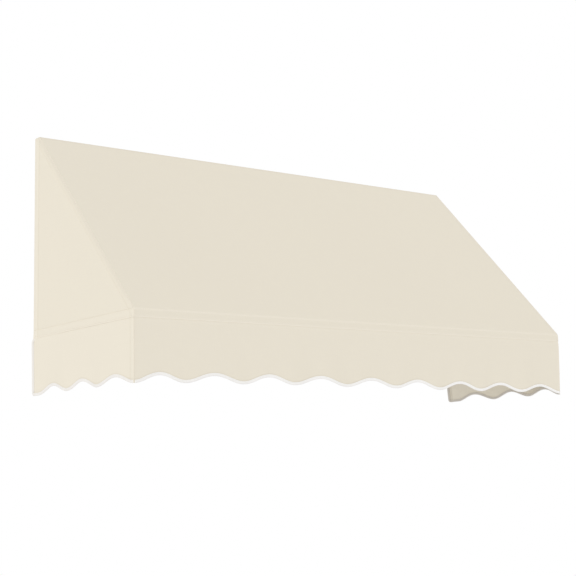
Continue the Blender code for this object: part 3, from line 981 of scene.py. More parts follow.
def edge_path(length, lows, at_wall):
    """The fold of the tape as (along, height), from where the panel starts."""
    stop = length - END_TURN if at_wall else length - SEAM_INSET
    count = WAVE_STEPS * (len(lows) - 1)
    points = []
    for i in range(count + 1):
        along = SEAM_INSET + (stop - SEAM_INSET) * i / count
        points.append((along, wave(along, lows)))
    if at_wall:
        centre = Vector((stop, points[-1][1] + END_TURN))
        for i in range(1, ARC_STEPS + 1):
            angle = math.pi / 2 * i / ARC_STEPS
            arm = Vector((math.sin(angle), -math.cos(angle)))
            points.append(tuple(centre + arm * END_TURN))
        foot = points[-1][1]
        for i in range(1, RISE_STEPS + 1):
            points.append((length, foot + (BAND_Z - GAP - foot) * i / RISE_STEPS))
    return [Vector(point) for point in points]


def cloth_foot(along, length, lows, at_wall):
    """Height of the cloth's own raw edge, inside the tape."""
    inside = TAPE + GAP
    stop = length - END_TURN
    if at_wall and along > stop:
        radius = END_TURN - inside
        side = min(radius, along - stop)
        return wave(stop, lows) + END_TURN - math.sqrt(max(0.0, radius**2 - side**2))
    return wave(along, lows) + inside


def valance_columns(length, at_wall):
    end = length - (TAPE + GAP if at_wall else SEAM_INSET)
    columns = set(spread(SEAM_INSET, end, VALANCE_STEP, (SEAM_INSET,), NEAR_EDGE))
    if at_wall:
        for seam in (STRIP, end - HEM):
            columns |= set(spread(seam - SEAM_REACH, seam + SEAM_REACH, 0.002, (seam,)))
        for k in range(9):
            columns.add(end - (END_TURN - TAPE) * (1 - math.sin(math.pi / 2 * k / 8)))
    else:
        columns |= {length - value for value in columns}
    return apart(columns, 0.0002)


# Painted light and shade on the valances: each is painted a touch lighter all over, lighter at the
# hem, just under the band and at the front's right end; the corner seams, a line inside the hem, a
# line by the strip and a line above the tape are painted darker.
def valance_shade(along, z, length, lows, at_wall):
    under_band = line(z - BAND_Z + 0.001, 0.003)
    corner = line(along - SEAM_INSET)
    marks = [(0.12, 1), (-0.45, line(z - wave(along, lows) - TAPE_UP - 0.0015))]
    if at_wall:
        hem = length - along - HEM
        marks += [(0.12, strip(hem)), (-0.15, line(hem)), (-0.10, line(along - STRIP))]
        marks += [(0.15, under_band), (-0.55, corner)]
    else:
        marks += [(0.45, under_band), (-0.85, corner)]
        marks.append((0.35, line(length - along - SEAM_INSET, 0.005)))
    return add_up(marks)


def cut_valance(name, length, lows, at_wall):
    steps = [(FINE_STEP * k, 0.0) for k in range(FINE_ROWS + 1)]
    steps += [(FINE_STEP * FINE_ROWS, k / VALANCE_ROWS) for k in range(1, VALANCE_ROWS + 1)]
    rows = []
    for rise, share in steps:
        row = []
        for along in valance_columns(length, at_wall):
            foot = cloth_foot(along, length, lows, at_wall) + rise
            z = foot + (BAND_Z + SEAM_LAP - foot) * share
            shade = valance_shade(along, z, length, lows, at_wall)
            row.append(((along, relief(along, length, at_wall), z), (along, z), shade))
        rows.append(row)
    sheet = Sheet()
    sheet.grid(rows)
    item = sheet.finish(name, canvas, flip=True)
    thicken(item, CLOTH, 0)
    return item


PANELS = {
    "front": (FRONT_LENGTH, FRONT_LOWS, False),
    "left": (SIDE_LENGTH, LEFT_LOWS, True),
    "right": (SIDE_LENGTH, RIGHT_LOWS, True),
}
valances = {hand: cut_valance(f"{hand}_valance_canvas", *PANELS[hand]) for hand in PANELS}
print(f"front valance {FRONT_LENGTH:.3f} m long, side valances {SIDE_LENGTH:.3f} m")

# %% [markdown]
# ## Folding the tape over the edge
# The tape is swept along the edge. Its section is a U with a round fold, 9 mm high, which stands
# square to the edge at every point, so the tape keeps its width round the waves. Along its
# length the map runs in metres, and the ribs of the weave lie across it.

# %% Fold the tape
# How much painted shade dulls each tape where it starts, at a front corner, and where it ends.
TAPE_SHADE = {"front": (0.25, 0.0), "left": (0.75, 0.75), "right": (0.0, 0.0)}
BULGE = 1.04  # the tape swells out by so much
BULGE_AT = 0.55  # and at this share of its height


def tape_section():
    """(across, up from the fold's outside, way round) of the folded tape, outside then inside."""
    points = [(TAPE_HALF, TAPE_UP), (TAPE_HALF * BULGE, TAPE_UP * BULGE_AT)]
    inner = TAPE_HALF - TAPE
    for k in range(7):
        angle = math.pi * k / 6
        points.append((TAPE_HALF * math.cos(angle), TAPE_HALF * (1 - math.sin(angle))))
    points += [(-TAPE_HALF * BULGE, TAPE_UP * BULGE_AT), (-TAPE_HALF, TAPE_UP)]
    points.append((-inner, TAPE_UP))
    for k in range(5):
        angle = math.pi * (1 - k / 4)
        points.append((inner * math.cos(angle), TAPE_HALF - inner * math.sin(angle)))
    points.append((inner, TAPE_UP))
    round_it = [0.0]
    for a, b in zip(points, points[1:]):
        round_it.append(round_it[-1] + math.dist(a, b))
    return [(*point, way) for point, way in zip(points, round_it)]


def path_frames(path):
    """(point, direction towards the cloth, distance along) for each point of a path."""
    frames = []
    travelled = 0.0
    for i, point in enumerate(path):
        before = path[max(0, i - 1)]
        after = path[min(len(path) - 1, i + 1)]
        way = (after - before).normalized()
        if i:
            travelled += (point - before).length
        frames.append((point, Vector((-way.y, way.x)), travelled))
    return frames


def fold_tape(name, dull, length, lows, at_wall):
    section = tape_section()
    sheet = Sheet()
    rings = []
    for point, inwards, travelled in path_frames(edge_path(length, lows, at_wall)):
        ring = []
        upright = smooth(-inwards.x) ** 2  # 1 up the wall end
        wider = 1 + (END_WIDER - 1) * upright
        for across, rise, way in section + section[:1]:
            place = point + inwards * rise * wider
            out = across + relief(min(max(place.x, 0), length), length, at_wall)
            # Painted shade: duller up the wall end, and by the given amounts along the panel.
            shade = max(upright, dull[0] + (dull[1] - dull[0]) * point.x / length)
            ring.append(((place.x, out, place.y), (travelled, way), shade))
        rings.append(ring)
    made = sheet.grid(rings)
    for ring, flipped in ((made[0], True), (made[-1], False)):
        corners = ring[:-1]
        sheet.bm.faces.new(reversed(corners) if flipped else corners)
    bmesh.ops.recalc_face_normals(sheet.bm, faces=sheet.bm.faces)
    return sheet.finish(name, tape_white)


tapes = {hand: fold_tape(f"{hand}_edging_tape", TAPE_SHADE[hand], *PANELS[hand]) for hand in PANELS}
print("tapes:", [len(tape.data.polygons) for tape in tapes.values()], "faces")

# %% [markdown]
# ## Rows of stitches
# A row of stitches repeats along a path, which is what Geometry Nodes do well. A piece is given
# to this tree as bare lines. The tree makes each line a curve, sets a point at every stitch,
# and puts a short oval of thread there, turned along the line and flat on the cloth. A lock
# stitch on canvas is about 3.2 mm long, with 0.8 mm between two where the thread dips.

# %% Build the stitch tree
STITCH_PITCH = 0.004
STITCH_LONG = 0.0032
THREAD_THICK = 0.0006


def new_tree(name, inputs):
    tree = bpy.data.node_groups.new(name, "GeometryNodeTree")
    tree.interface.new_socket("Geometry", in_out="INPUT", socket_type="NodeSocketGeometry")
    for label, kind, value in inputs:
        socket = tree.interface.new_socket(label, in_out="INPUT", socket_type=kind)
        if value is not None:
            socket.default_value = value
    tree.interface.new_socket("Geometry", in_out="OUTPUT", socket_type="NodeSocketGeometry")
    return tree


def use_tree(item, tree, values):
    """Adds the tree to an object, with its inputs set by their identifiers."""
    step = item.modifiers.new(tree.name, "NODES")
    step.node_group = tree
    sockets = {s.name: s.identifier for s in tree.interface.items_tree if s.in_out == "INPUT"}
    for name, value in values.items():
        step[sockets[name]] = value
    return step


def close_tree(tree, geometry, material):
    """Makes what a tree has built real, gives it its material and hands it out."""
    real = add(tree, "GeometryNodeRealizeInstances", {}, {"Geometry": geometry})
    dyed = add(tree, "GeometryNodeSetMaterial", {}, {"Geometry": real, "Material": material})
    add(tree, "NodeGroupOutput", {}, {"Geometry": dyed})
    return tree


def make_stitch_tree():
    tree = new_tree("stitches along a seam", [
        ("Pitch", "NodeSocketFloat", STITCH_PITCH),
        ("Stitch length", "NodeSocketFloat", STITCH_LONG),
        ("Thread", "NodeSocketFloat", THREAD_THICK),
        ("Facing", "NodeSocketVector", (0, 0, 1)),
        ("Material", "NodeSocketMaterial", None),
    ])
    given = add(tree, "NodeGroupInput")
    curve = add(tree, "GeometryNodeMeshToCurve", {}, {"Mesh": given.outputs["Geometry"]})
    points = add(tree, "GeometryNodeResampleCurve", {"mode": "LENGTH"}, {
        "Curve": curve,
        "Length": given.outputs["Pitch"],
    })
    ball = add(tree, "GeometryNodeMeshUVSphere", {}, {"Segments": 6, "Rings": 4, "Radius": 0.5})
    size = add(tree, "ShaderNodeCombineXYZ", {}, {
        0: given.outputs["Stitch length"],
        1: given.outputs["Thread"],
        2: given.outputs["Thread"],
    })
    upright = add(tree, "GeometryNodeTransform", {}, {
        "Geometry": ball,
        "Rotation": (0, math.pi / 2, 0),
    })
    stitch = add(tree, "GeometryNodeTransform", {}, {"Geometry": upright, "Scale": size})
    way = add(tree, "GeometryNodeInputTangent")
    turned = add(tree, "FunctionNodeAlignRotationToVector", {"axis": "X"}, {"Vector": way})
    flat = add(tree, "FunctionNodeAlignRotationToVector", {"axis": "Z", "pivot_axis": "X"}, {
        "Rotation": turned,
        "Vector": given.outputs["Facing"],
    })
    sewn = add(tree, "GeometryNodeInstanceOnPoints", {}, {
        "Points": points,
        "Instance": stitch,
        "Rotation": flat,
    })
    return close_tree(tree, sewn, given.outputs["Material"])


STITCHES = make_stitch_tree()


def sew(name, rows, facing, thread):
    """Stitches along rows of points, as one piece whose tree is still to be evaluated."""
    mesh = bpy.data.meshes.new(name)
    verts, edges = [], []
    for row in rows:
        first = len(verts)
        verts += [tuple(point) for point in row]
        edges += [(first + i, first + i + 1) for i in range(len(row) - 1)]
    mesh.from_pydata(verts, edges, [])
    item = put_in_scene(name, mesh)
    use_tree(item, STITCHES, {"Facing": facing, "Material": thread})
    return item


print("stitch tree:", len(STITCHES.nodes), "nodes")

# %% [markdown]
# ## Sewing the cover
# The band has a row at its foot and one under the eave, the wings have one down their hem and
# one 20 mm inside the seam, through the cloth that was turned under there, and the flaps at the
# back have one along their free edge. Each row lies in the valley that was made for it. Rows
# that face the same way are sewn as one piece.

# %% Sew the cover
SINK = 0.0003  # the middle of the thread lies this far above the bottom of the valley
FROM_CORNER = 0.004  # how far rows stop short of a corner of the cover
FROM_TURN = 0.003  # and of the turn at the wall
FROM_FOOT = 0.002  # and of the foot of the band
HALVINGS = 30


def wing_row(points, side):
    """A row on a wing, from (y, z) places."""
    row = []
    for y, z in points:
        depth, _ = wing_depth(y, z)
        row.append(lean((side * (HALF - depth + SINK), y, z)))
    return row


def steps_between(start, end, step=0.02):
    count = max(1, round(abs(end - start) / step))
    return [start + (end - start) * i / count for i in range(count + 1)]


def beside_seam():
    """The line a strip's width inside the seam, from the foot of the band to the wing's hem."""
    points = []
    for z in steps_between(BAND_Z + FROM_FOOT, BORDER_TOP, 0.004):
        low, high = border_y(z), REAR_Y - HEM
        if border_distance(Vector((high, z))) < STRIP:
            break
        for _ in range(HALVINGS):
            middle = (low + high) / 2
            if border_distance(Vector((middle, z))) < STRIP:
                low = middle
            else:
                high = middle
        points.append((low, z))
    return points


def band_row(s):
    (y, z), out = side_line.at(s)
    depth = VALLEY - SINK
    edge = HALF - FROM_CORNER
    return [lean((x, y - out.x * depth, z - out.y * depth)) for x in steps_between(-edge, edge)]


front_rows = [band_row(FOOT_ROW), band_row(EAVE_S)]
cover_rows = {"top_panel": sew("front_band_stitching", front_rows, (0, -1, 0), cream_thread)}
across = steps_between(FRONT_Y + FROM_CORNER, REAR_Y - FROM_TURN)
hem_line = steps_between(BAND_Z + FROM_FOOT, BORDER_TOP - FROM_CORNER)
wing_lines = (
    [(y, BAND_Z + FOOT_ROW) for y in across],
    [(y, EAVE_Z) for y in across],
    [(REAR_Y - HEM, z) for z in hem_line],
    beside_seam(),
)
for side, hand in ((-1, "left"), (1, "right")):
    rows = [wing_row(points, side) for points in wing_lines]
    cover_rows[f"{hand}_wing"] = sew(f"{hand}_wing_stitching", rows, (side, 0, 0), cream_thread)

flap_y = REAR_Y - VALLEY + SINK
flap_x = HALF - RETURN + HEM_ROW
head_z = TOP_Z - RETURN + HEM_ROW
upright_line = steps_between(BAND_Z + FROM_TURN, FLAP_TOP - FROM_TURN)
back_rows = [[lean((x, flap_y, head_z)) for x in steps_between(0.006 - HALF, HALF - 0.006)]]
for side in (-1, 1):
    back_rows.append([lean((side * flap_x, flap_y, z)) for z in upright_line])
cover_rows["back"] = sew("back_hem_stitching", back_rows, (0, 1, 0), cream_thread)
for item in cover_rows.values():
    settle(item)
STITCH_FACES = 24
faces = sum(len(item.data.polygons) for item in cover_rows.values())
print("stitches on the cover:", faces // STITCH_FACES)

# %% [markdown]
# ## Sewing the tape, still flat
# The tape is sewn close to its upper edge, through both faces and the canvas between. The side
# valances have a row 20 mm from their corner seam too, in line with the one on the wing.

# %% Sew the tape
TAPE_ROW = 0.0062  # from the fold up to the stitches


def tape_rows(length, lows, at_wall, out):
    row = []
    for point, inwards, _ in path_frames(edge_path(length, lows, at_wall)):
        place = point + inwards * TAPE_ROW
        if SEAM_INSET < place.x < length - SEAM_INSET:
            row.append((place.x, out + relief(place.x, length, at_wall), place.y))
    return row


sewing = {}
for hand, (length, lows, at_wall) in PANELS.items():
    sewing[hand] = []
    for face, way in (("outside", 1), ("inside", -1)):
        rows = [tape_rows(*PANELS[hand], way * (TAPE_HALF + 0.0001))]
        item = sew(f"{hand}_tape_stitching_{face}", rows, (0, way, 0), white_thread)
        sewing[hand].append((item, white_thread))
    if at_wall:
        out = CLOTH / 2 + relief(STRIP, length, True) + SINK
        foot = wave(STRIP, lows) + TAPE_UP + FROM_FOOT
        row = [(STRIP, out, z) for z in steps_between(foot, BAND_Z - 0.001)]
        item = sew(f"{hand}_valance_strip_stitching", [row], (0, 1, 0), cream_thread)
        sewing[hand].append((item, cream_thread))
print("rows sewn flat:", sum(len(rows) for rows in sewing.values()))

# %% [markdown]
# ## Hanging the valances
# Only the top of a valance is held, so its foot swings out or in a little and wavers. One tree
# hangs whatever it is given, cloth, tape or stitches, and so they stay together. Just under the
# band the cloth comes forward until it is flush. Further down each end swings by an amount of
# its own, and a slow noise along the panel adds the waver. An end also moves sideways by as
# much as its neighbour swings, or the corner would open. The free end at the wall is stiff with
# its hem and stands off the wing from the band down.

# %% Build the hanging tree
RIPPLE = 0.0015
RIPPLE_PACE = 6.5  # how fast the noise changes along the panel, for each metre
RIPPLE_START = 0.12  # share times rest, from where on the waver is full
SWING_EASE = 1.4  # above 1, so that the swing grows towards the foot
FLUSH_BY = 0.015  # the cloth is flush with the band at this share of the drop
STAND_OFF_BY = 0.07  # and the wall end has come off the wing at this one
NEAR_WALL = 0.7  # share of the length from where on the wall end is lifted off


def make_hang_tree():
    tree = new_tree("hang a valance", [
        ("Length", "NodeSocketFloat", 1.0),
        ("Held at", "NodeSocketFloat", BAND_Z),
        ("Drop", "NodeSocketFloat", BAND_Z - EDGE_Z),
        ("Flush", "NodeSocketFloat", LAP),
        ("Start swing", "NodeSocketFloat", 0.0),
        ("End swing", "NodeSocketFloat", 0.0),
        ("Start sideways", "NodeSocketFloat", 0.0),
        ("End sideways", "NodeSocketFloat", 0.0),
        ("End spread", "NodeSocketFloat", 1.0),
        ("Stand off", "NodeSocketFloat", 0.0),
        ("Ripple", "NodeSocketFloat", RIPPLE),
        ("Seed", "NodeSocketFloat", 0.0),
        ("Material", "NodeSocketMaterial", None),
    ])
    given = add(tree, "NodeGroupInput")
    value = given.outputs
    place = add(tree, "GeometryNodeInputPosition")
    part = add(tree, "ShaderNodeSeparateXYZ", {}, {0: place})
    lowest = add(tree, "ShaderNodeMath", {"operation": "SUBTRACT"}, {
        0: value["Held at"],
        1: value["Drop"],
    })
    down = add(tree, "ShaderNodeMapRange", {}, {
        "Value": part.outputs["Z"],
        "From Min": value["Held at"],
        "From Max": lowest,
    })
    eased = add(tree, "ShaderNodeMath", {"operation": "POWER"}, {0: down, 1: SWING_EASE})
    share = add(tree, "ShaderNodeMath", {"operation": "DIVIDE"}, {
        0: part.outputs["X"],
        1: value["Length"],
    })

    flush = add(tree, "ShaderNodeMapRange", {"interpolation_type": "SMOOTHSTEP"}, {
        "Value": down,
        "From Max": FLUSH_BY,
        "To Max": value["Flush"],
    })
    between = []
    for start, end in (
        (value["Start swing"], value["End swing"]),
        (-1.0, value["End spread"]),
        (value["Start sideways"], value["End sideways"]),
    ):
        between.append(add(tree, "ShaderNodeMapRange", {"clamp": False}, {
            "Value": share,
            "To Min": start,
            "To Max": end,
        }))
    swing = add(tree, "ShaderNodeMath", {"operation": "MULTIPLY"}, {0: between[0], 1: eased})
    spread_by = add(tree, "ShaderNodeMath", {"operation": "MULTIPLY"}, {0: between[1], 1: flush})
    sideways = add(tree, "ShaderNodeMath", {"operation": "MULTIPLY_ADD"}, {
        0: between[2],
        1: eased,
        2: spread_by,
    })
    near_wall = add(tree, "ShaderNodeMapRange", {"interpolation_type": "SMOOTHSTEP"}, {
        "Value": share,
        "From Min": NEAR_WALL,
    })
    lifted = add(tree, "ShaderNodeMapRange", {"interpolation_type": "SMOOTHSTEP"}, {
        "Value": down,
        "From Max": STAND_OFF_BY,
        "To Max": value["Stand off"],
    })
    off = add(tree, "ShaderNodeMath", {"operation": "MULTIPLY"}, {0: lifted, 1: near_wall})

    slow = add(tree, "ShaderNodeMath", {"operation": "MULTIPLY_ADD"}, {
        0: part.outputs["X"],
        1: RIPPLE_PACE,
        2: value["Seed"],
    })
    noise = add(tree, "ShaderNodeTexNoise", {"noise_dimensions": "1D"}, {
        "W": slow,
        "Scale": 1.0,
        "Detail": 1.0,
    })
    ripple = add(tree, "ShaderNodeMapRange", {"clamp": False}, {
        "Value": noise.outputs["Fac"],
        "From Min": 0.3,
        "From Max": 0.7,
        "To Min": -1.0,
        "To Max": 1.0,
    })
    rest = add(tree, "ShaderNodeMath", {"operation": "SUBTRACT"}, {0: 1.0, 1: share})
    middle = add(tree, "ShaderNodeMath", {"operation": "MULTIPLY"}, {0: share, 1: rest})
    calm_ends = add(tree, "ShaderNodeMapRange", {"interpolation_type": "SMOOTHSTEP"}, {
        "Value": middle,
        "From Max": RIPPLE_START,
    })
    for factor in (value["Ripple"], eased, calm_ends):
        ripple = add(tree, "ShaderNodeMath", {"operation": "MULTIPLY"}, {0: ripple, 1: factor})
    outwards = swing
    for more in (ripple, flush, off):
        outwards = add(tree, "ShaderNodeMath", {"operation": "ADD"}, {0: outwards, 1: more})
    offset = add(tree, "ShaderNodeCombineXYZ", {}, {0: sideways, 1: outwards})
    moved = add(tree, "GeometryNodeSetPosition", {}, {
        "Geometry": value["Geometry"],
        "Offset": offset,
    })
    return close_tree(tree, moved, value["Material"])


HANG = make_hang_tree()
print("hanging tree:", len(HANG.nodes), "nodes")

# %% [markdown]
# The hung panels are then put in their places round the foot of the band. A flat panel's X, Y
# and Z become the row's directions by a matrix. Where that matrix mirrors, faces would point
# inwards, so they are turned round. Inside the right valance, which the picture shows, less light
# gets in near both ends, and `dim_inside` darkens that face alone.

# %% Hang them
SEEDS = {"front": 3.0, "left": 11.0, "right": 27.0}
FRONT_SWING = -0.003
SWINGS = {"front": (FRONT_SWING, FRONT_SWING), "left": (0.002, 0.0), "right": (-0.006, 0.012)}
STAND_OFFS = {"front": 0.0, "left": 0.0045, "right": 0.0155}  # of the free ends at the wall
SIDEWAYS = {
    "front": (-SWINGS["left"][0], SWINGS["right"][0]),
    "left": (-FRONT_SWING, 0.0),
    "right": (-FRONT_SWING, 0.0),
}
MIDDLE_X = HALF - PLANE_OUT
MIDDLE_Y = FRONT_Y + PLANE_OUT
UPWARDS = ((0, 0, 1, 0), (0, 0, 0, 1))  # the last two rows of every matrix
PLACES = {
    "front": Matrix(((1, 0, 0, -CORNER_X), (0, -1, 0, MIDDLE_Y), *UPWARDS)),
    "left": Matrix(((0, -1, 0, -MIDDLE_X), (1, 0, 0, CORNER_Y), *UPWARDS)),
    "right": Matrix(((0, 1, 0, MIDDLE_X), (1, 0, 0, CORNER_Y), *UPWARDS)),
}
DIM_FROM_CORNER = 0.24
DIM_FADE = 0.12
HEM_DIM = 0.8


def hang(item, hand, material):
    length, _, at_wall = PANELS[hand]
    use_tree(item, HANG, {
        "Length": length,
        "Start swing": SWINGS[hand][0],
        "End swing": SWINGS[hand][1],
        "Start sideways": SIDEWAYS[hand][0],
        "End sideways": SIDEWAYS[hand][1],
        "End spread": 0.0 if at_wall else 1.0,
        "Stand off": STAND_OFFS[hand],
        "Seed": SEEDS[hand],
        "Material": material,
    })
    settle(item)
    item.data.transform(PLACES[hand])
    if PLACES[hand].determinant() < 0:
        item.data.flip_normals()
    for vert in item.data.vertices:
        vert.co = lean(vert.co)


def dim_inside(item):
    """Darkens the inner face of the right valance near its two ends, where less light gets in."""
    shade = item.data.attributes["shade"].data
    for vert in item.data.vertices:
        if vert.normal.x < -0.5:
            along = vert.co.y - CORNER_Y
            hem = strip(SIDE_LENGTH - along - HEM)
            shade[vert.index].value -= smooth((DIM_FROM_CORNER - along) / DIM_FADE) + HEM_DIM * hem


for hand in PANELS:
    hang(valances[hand], hand, canvas)
    hang(tapes[hand], hand, tape_white)
    for item, thread in sewing[hand]:
        hang(item, hand, thread)
dim_inside(valances["right"])
print("hung:", ", ".join(PANELS))

# %% [markdown]
# ## Screws that hold the cover
# The cover is pulled over the frame and its turned-in edges are screwed to the back of the
# header and the uprights, every 15 cm. They are stainless pan heads on washers, low enough to
# clear the wall. A second tree makes one screw from a washer, a dome and a cross cut out of
# it, and sets it on every point that it is given.

# %% Drive the cover screws
SCREW_SPACING = 0.15
WASHER_ACROSS = 0.012
WASHER_THICK = 0.0008
HEAD_ACROSS = 0.0082
HEAD_TALL = 0.0024
CROSS_LONG = 0.0042
CROSS_WIDE = 0.0009
CROSS_DEEP = 0.003  # half of it is above the top of the head
AROUND = 20  # corners round the washer and the head


def make_screw_tree():
    tree = new_tree("pan-head screws on points", [
        ("Washer", "NodeSocketFloat", WASHER_ACROSS),
        ("Washer thickness", "NodeSocketFloat", WASHER_THICK),
        ("Head", "NodeSocketFloat", HEAD_ACROSS),
        ("Head height", "NodeSocketFloat", HEAD_TALL),
        ("Seed", "NodeSocketInt", 5),
        ("Material", "NodeSocketMaterial", None),
    ])
    given = add(tree, "NodeGroupInput")
    value = given.outputs
    washer_radius, head_radius = [
        add(tree, "ShaderNodeMath", {"operation": "MULTIPLY"}, {0: value[name], 1: 0.5})
        for name in ("Washer", "Head")
    ]
    washer = add(tree, "GeometryNodeMeshCylinder", {}, {
        "Vertices": AROUND,
        "Radius": washer_radius,
        "Depth": value["Washer thickness"],
    })
    ball = add(tree, "GeometryNodeMeshUVSphere", {}, {
        "Segments": AROUND,
        "Rings": AROUND // 2,
        "Radius": 1.0,
    })
    size = add(tree, "ShaderNodeCombineXYZ", {}, {
        0: head_radius,
        1: head_radius,
        2: value["Head height"],
    })
    dome = add(tree, "GeometryNodeTransform", {}, {"Geometry": ball, "Scale": size})
    head = add(tree, "GeometryNodeMeshBoolean", {"operation": "DIFFERENCE"}, {"Mesh 1": dome})
    lift = add(tree, "ShaderNodeCombineXYZ", {}, {2: value["Head height"]})
    for cut in ((CROSS_LONG, CROSS_WIDE, CROSS_DEEP), (CROSS_WIDE, CROSS_LONG, CROSS_DEEP)):
        bar = add(tree, "GeometryNodeMeshCube", {}, {"Size": cut})
        bar = add(tree, "GeometryNodeTransform", {}, {"Geometry": bar, "Translation": lift})
        tree.links.new(bar.outputs[0], head.inputs["Mesh 2"])
    both = add(tree, "GeometryNodeJoinGeometry", {}, {0: washer})
    tree.links.new(head.outputs[0], both.inputs[0])
    spin = add(tree, "FunctionNodeRandomValue", {"data_type": "FLOAT"}, {
        "Max": math.tau,
        "Seed": value["Seed"],
    })
    turn = add(tree, "ShaderNodeCombineXYZ", {}, {2: spin.outputs["Value"]})
    driven = add(tree, "GeometryNodeInstanceOnPoints", {}, {
        "Points": value["Geometry"],
        "Instance": both,
        "Rotation": turn,
    })
    return close_tree(tree, driven, value["Material"])


SCREWS = make_screw_tree()
print("screw tree:", len(SCREWS.nodes), "nodes")

# %% [markdown]
# ## Bare metal finishes
# The frame is left as it comes from the mill. Extruded tube is bright and satin, with fine
# lines along it that the die has drawn. Die-cast corners are greyer, tumbled, with a soft
# grain all over. The wall brackets are zinc-plated steel, a little blue, and the screws are
# plain stainless. Each metal keeps its usual roughness, and noise moves it a little, because
# an even gloss looks like paint. Die lines are drawn 0.4 mm apart and stretched along the tube.

# %% Mix the metals
DIE_LINE = 0.0004
DIE_RUN = 0.12


def make_metal(name, dark, light, rough, grain, turn=(0, 0, 0), bump_by=0.2):
    """A metal whose grain has a size (x, y, z) in metres, turned to lie along its piece."""
    material, tree = new_material(name)
    place = add(tree, "ShaderNodeTexCoord")
    lie = add(tree, "ShaderNodeMapping", {"vector_type": "TEXTURE"}, {
        "Vector": place.outputs["Object"],
        "Rotation": turn,
        "Scale": grain,
    })
    lines = add(tree, "ShaderNodeTexNoise", {}, {"Vector": lie, "Scale": 1.0, "Detail": 3.0})
    cloud = add(tree, "ShaderNodeTexNoise", {}, {
        "Vector": place.outputs["Object"],
        "Scale": 35.0,
        "Detail": 3.0,
    })
    tone = add(tree, "ShaderNodeMix", {"data_type": "RGBA"}, {
        0: cloud.outputs["Fac"],
        6: colour(dark),
        7: colour(light),
    })
    mixed = add(tree, "ShaderNodeMath", {"operation": "ADD"}, {
        0: lines.outputs["Fac"],
        1: cloud.outputs["Fac"],
    })
    gloss = add(tree, "ShaderNodeMapRange", {}, {
        "Value": mixed,
        "From Min": 0.7,
        "From Max": 1.3,
        "To Min": rough[0],
        "To Max": rough[1],
    })
    bump = add(tree, "ShaderNodeBump", {}, {
        "Strength": bump_by,
        "Distance": 0.0002,
        "Height": lines.outputs["Fac"],
    })
    fill(tree, tree.nodes["Principled BSDF"], {
        "Base Color": tone.outputs[2],
        "Roughness": gloss,
        "Normal": bump,
        "Metallic": 1.0,
    })
    return material


ALONG_X = (DIE_RUN, DIE_LINE, DIE_LINE)
ALONG_Y = (DIE_LINE, DIE_RUN, DIE_LINE)
ALONG_Z = (DIE_LINE, DIE_LINE, DIE_RUN)
MILL = ("#BFC2C5", "#D3D5D7", (0.30, 0.44))
mill = {
    "header_tube": make_metal("mill-finish aluminium, along the wall", *MILL, ALONG_X),
    "upright": make_metal("mill-finish aluminium, upright", *MILL, ALONG_Z),
    "eave_arm": make_metal("mill-finish aluminium, out of the wall", *MILL, ALONG_Y),
    "rafter": make_metal("mill-finish aluminium, up the slope", *MILL, ALONG_Y, (PITCH, 0, 0)),
}
mill["front_bar"] = mill["header_tube"]
GRIT = (0.0012, 0.0012, 0.0012)
TUMBLED = ("#A4A7AA", "#B9BBBD", (0.42, 0.58))
cast = make_metal("tumbled die-cast aluminium", *TUMBLED, GRIT, bump_by=0.5)
SPANGLE = (0.006, 0.006, 0.006)
zinc = make_metal("zinc-plated steel", "#B9BCBE", "#CDD0D0", (0.30, 0.46), SPANGLE)
FINE = (0.0008, 0.0008, 0.0008)
stainless = make_metal("stainless steel, as turned", "#C9C8C5", "#DAD9D6", (0.20, 0.30), FINE)
metals = {material.name for material in (*mill.values(), cast, zinc, stainless)}
print("metals:", len(metals))

# %% [markdown]
# The tree sets screws upright on points that lie flat. The finished piece is then tipped over
# as a mesh, so that the screws' heads face the wall.

# %% Set the cover screws on the flaps
FROM_SIDE = 0.04  # the first screw in the header, from the side of the cover
FROM_BAND = 0.045  # the lowest screw in an upright, from the foot of the band
FROM_HEADER = 0.03  # the highest one, from the top of the flap
IN_UPRIGHT = 0.0125  # the middle of an upright's tube, from the side


def screw_places():
    """(x, z) of every screw through the turned-in cover."""
    height = TOP_Z - LAP - (header_high.z - header_low.z) / 2
    end = HALF - FROM_SIDE
    spacing = 2 * end / round(2 * end / SCREW_SPACING)
    places = [(x, height) for x in steps_between(-end, end, spacing)]
    low, high = BAND_Z + FROM_BAND, FLAP_TOP - FROM_HEADER
    for side in (-1, 1):
        for z in steps_between(low, high, SCREW_SPACING):
            places.append((side * (HALF - IN_UPRIGHT), z))
    return places


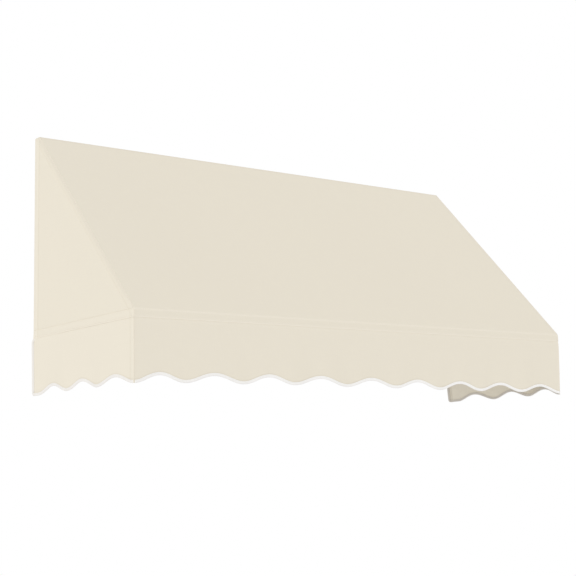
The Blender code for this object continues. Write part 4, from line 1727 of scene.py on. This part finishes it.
mesh = bpy.data.meshes.new("cover_screws")
mesh.from_pydata([(x, z, 0) for x, z in screw_places()], [], [])
cover_screws = put_in_scene("cover_screws", mesh)
use_tree(cover_screws, SCREWS, {"Material": stainless})
settle(cover_screws)
for vert in cover_screws.data.vertices:
    x, z, out = vert.co
    vert.co = lean((x, REAR_Y + WASHER_THICK / 2 + out, z))
cover_screws.data.flip_normals()
print("cover screws:", len(screw_places()))

# %% [markdown]
# ## Finishing the frame
# The frame's own solids are right as they are, so they stay and get their metals. Castings and
# brackets never have knife edges, and a small bevel lets each edge catch the light. Their
# meshes come as loose triangles, so a Weld joins them and Decimate merges the flat ones first.

# %% Finish the frame
CAST_EDGE = 0.0008
PLATE_EDGE = 0.0004


def soften(item, width):
    weld = item.modifiers.new("Weld", "WELD")
    weld.merge_threshold = 0.00001
    flat = item.modifiers.new("Merge flats", "DECIMATE")
    flat.decimate_type = "DISSOLVE"
    flat.angle_limit = math.radians(0.5)
    edge = item.modifiers.new("Edges", "BEVEL")
    edge.width = width
    edge.segments = 2
    edge.angle_limit = math.radians(40)
    edge.harden_normals = False


def finish_of(name):
    if name.endswith("_screw"):
        return stainless, 0.0
    if name.endswith("_bracket"):
        return zinc, PLATE_EDGE
    if name.endswith(("_corner", "_socket")):
        return cast, CAST_EDGE
    for kind, material in mill.items():
        if name.endswith(kind):
            return material, 0.0
    return None, 0.0


counted = 0
for name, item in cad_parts.items():
    material, width = finish_of(name)
    if material is None:
        continue
    for slot in item.material_slots:
        slot.material = material
    if width:
        soften(item, width)
    counted += 1
print("frame pieces finished:", counted)

# %% [markdown]
# ## What rides, replaces and is cloth
# Everything is one body, because the awning doesn't move. Each cloth panel replaces its plain
# solid and is declared with the size that it was cut to, before it was sewn and hung.

panel_nodes = {"top_panel": top_panel, "left_wing": wings["left"], "right_wing": wings["right"]}
for hand in PANELS:
    panel_nodes[f"{hand}_valance"] = valances[hand]
for node, item in panel_nodes.items():
    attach(item, "root")
    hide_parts(node)
for hand, item in tapes.items():
    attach(item, "root")
    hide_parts(f"{hand}_edging")
    for row, thread in sewing[hand]:
        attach(row, "root")
for item in cover_rows.values():
    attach(item, "root")
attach(cover_screws, "root")

for hand, item in valances.items():
    length = PANELS[hand][0]
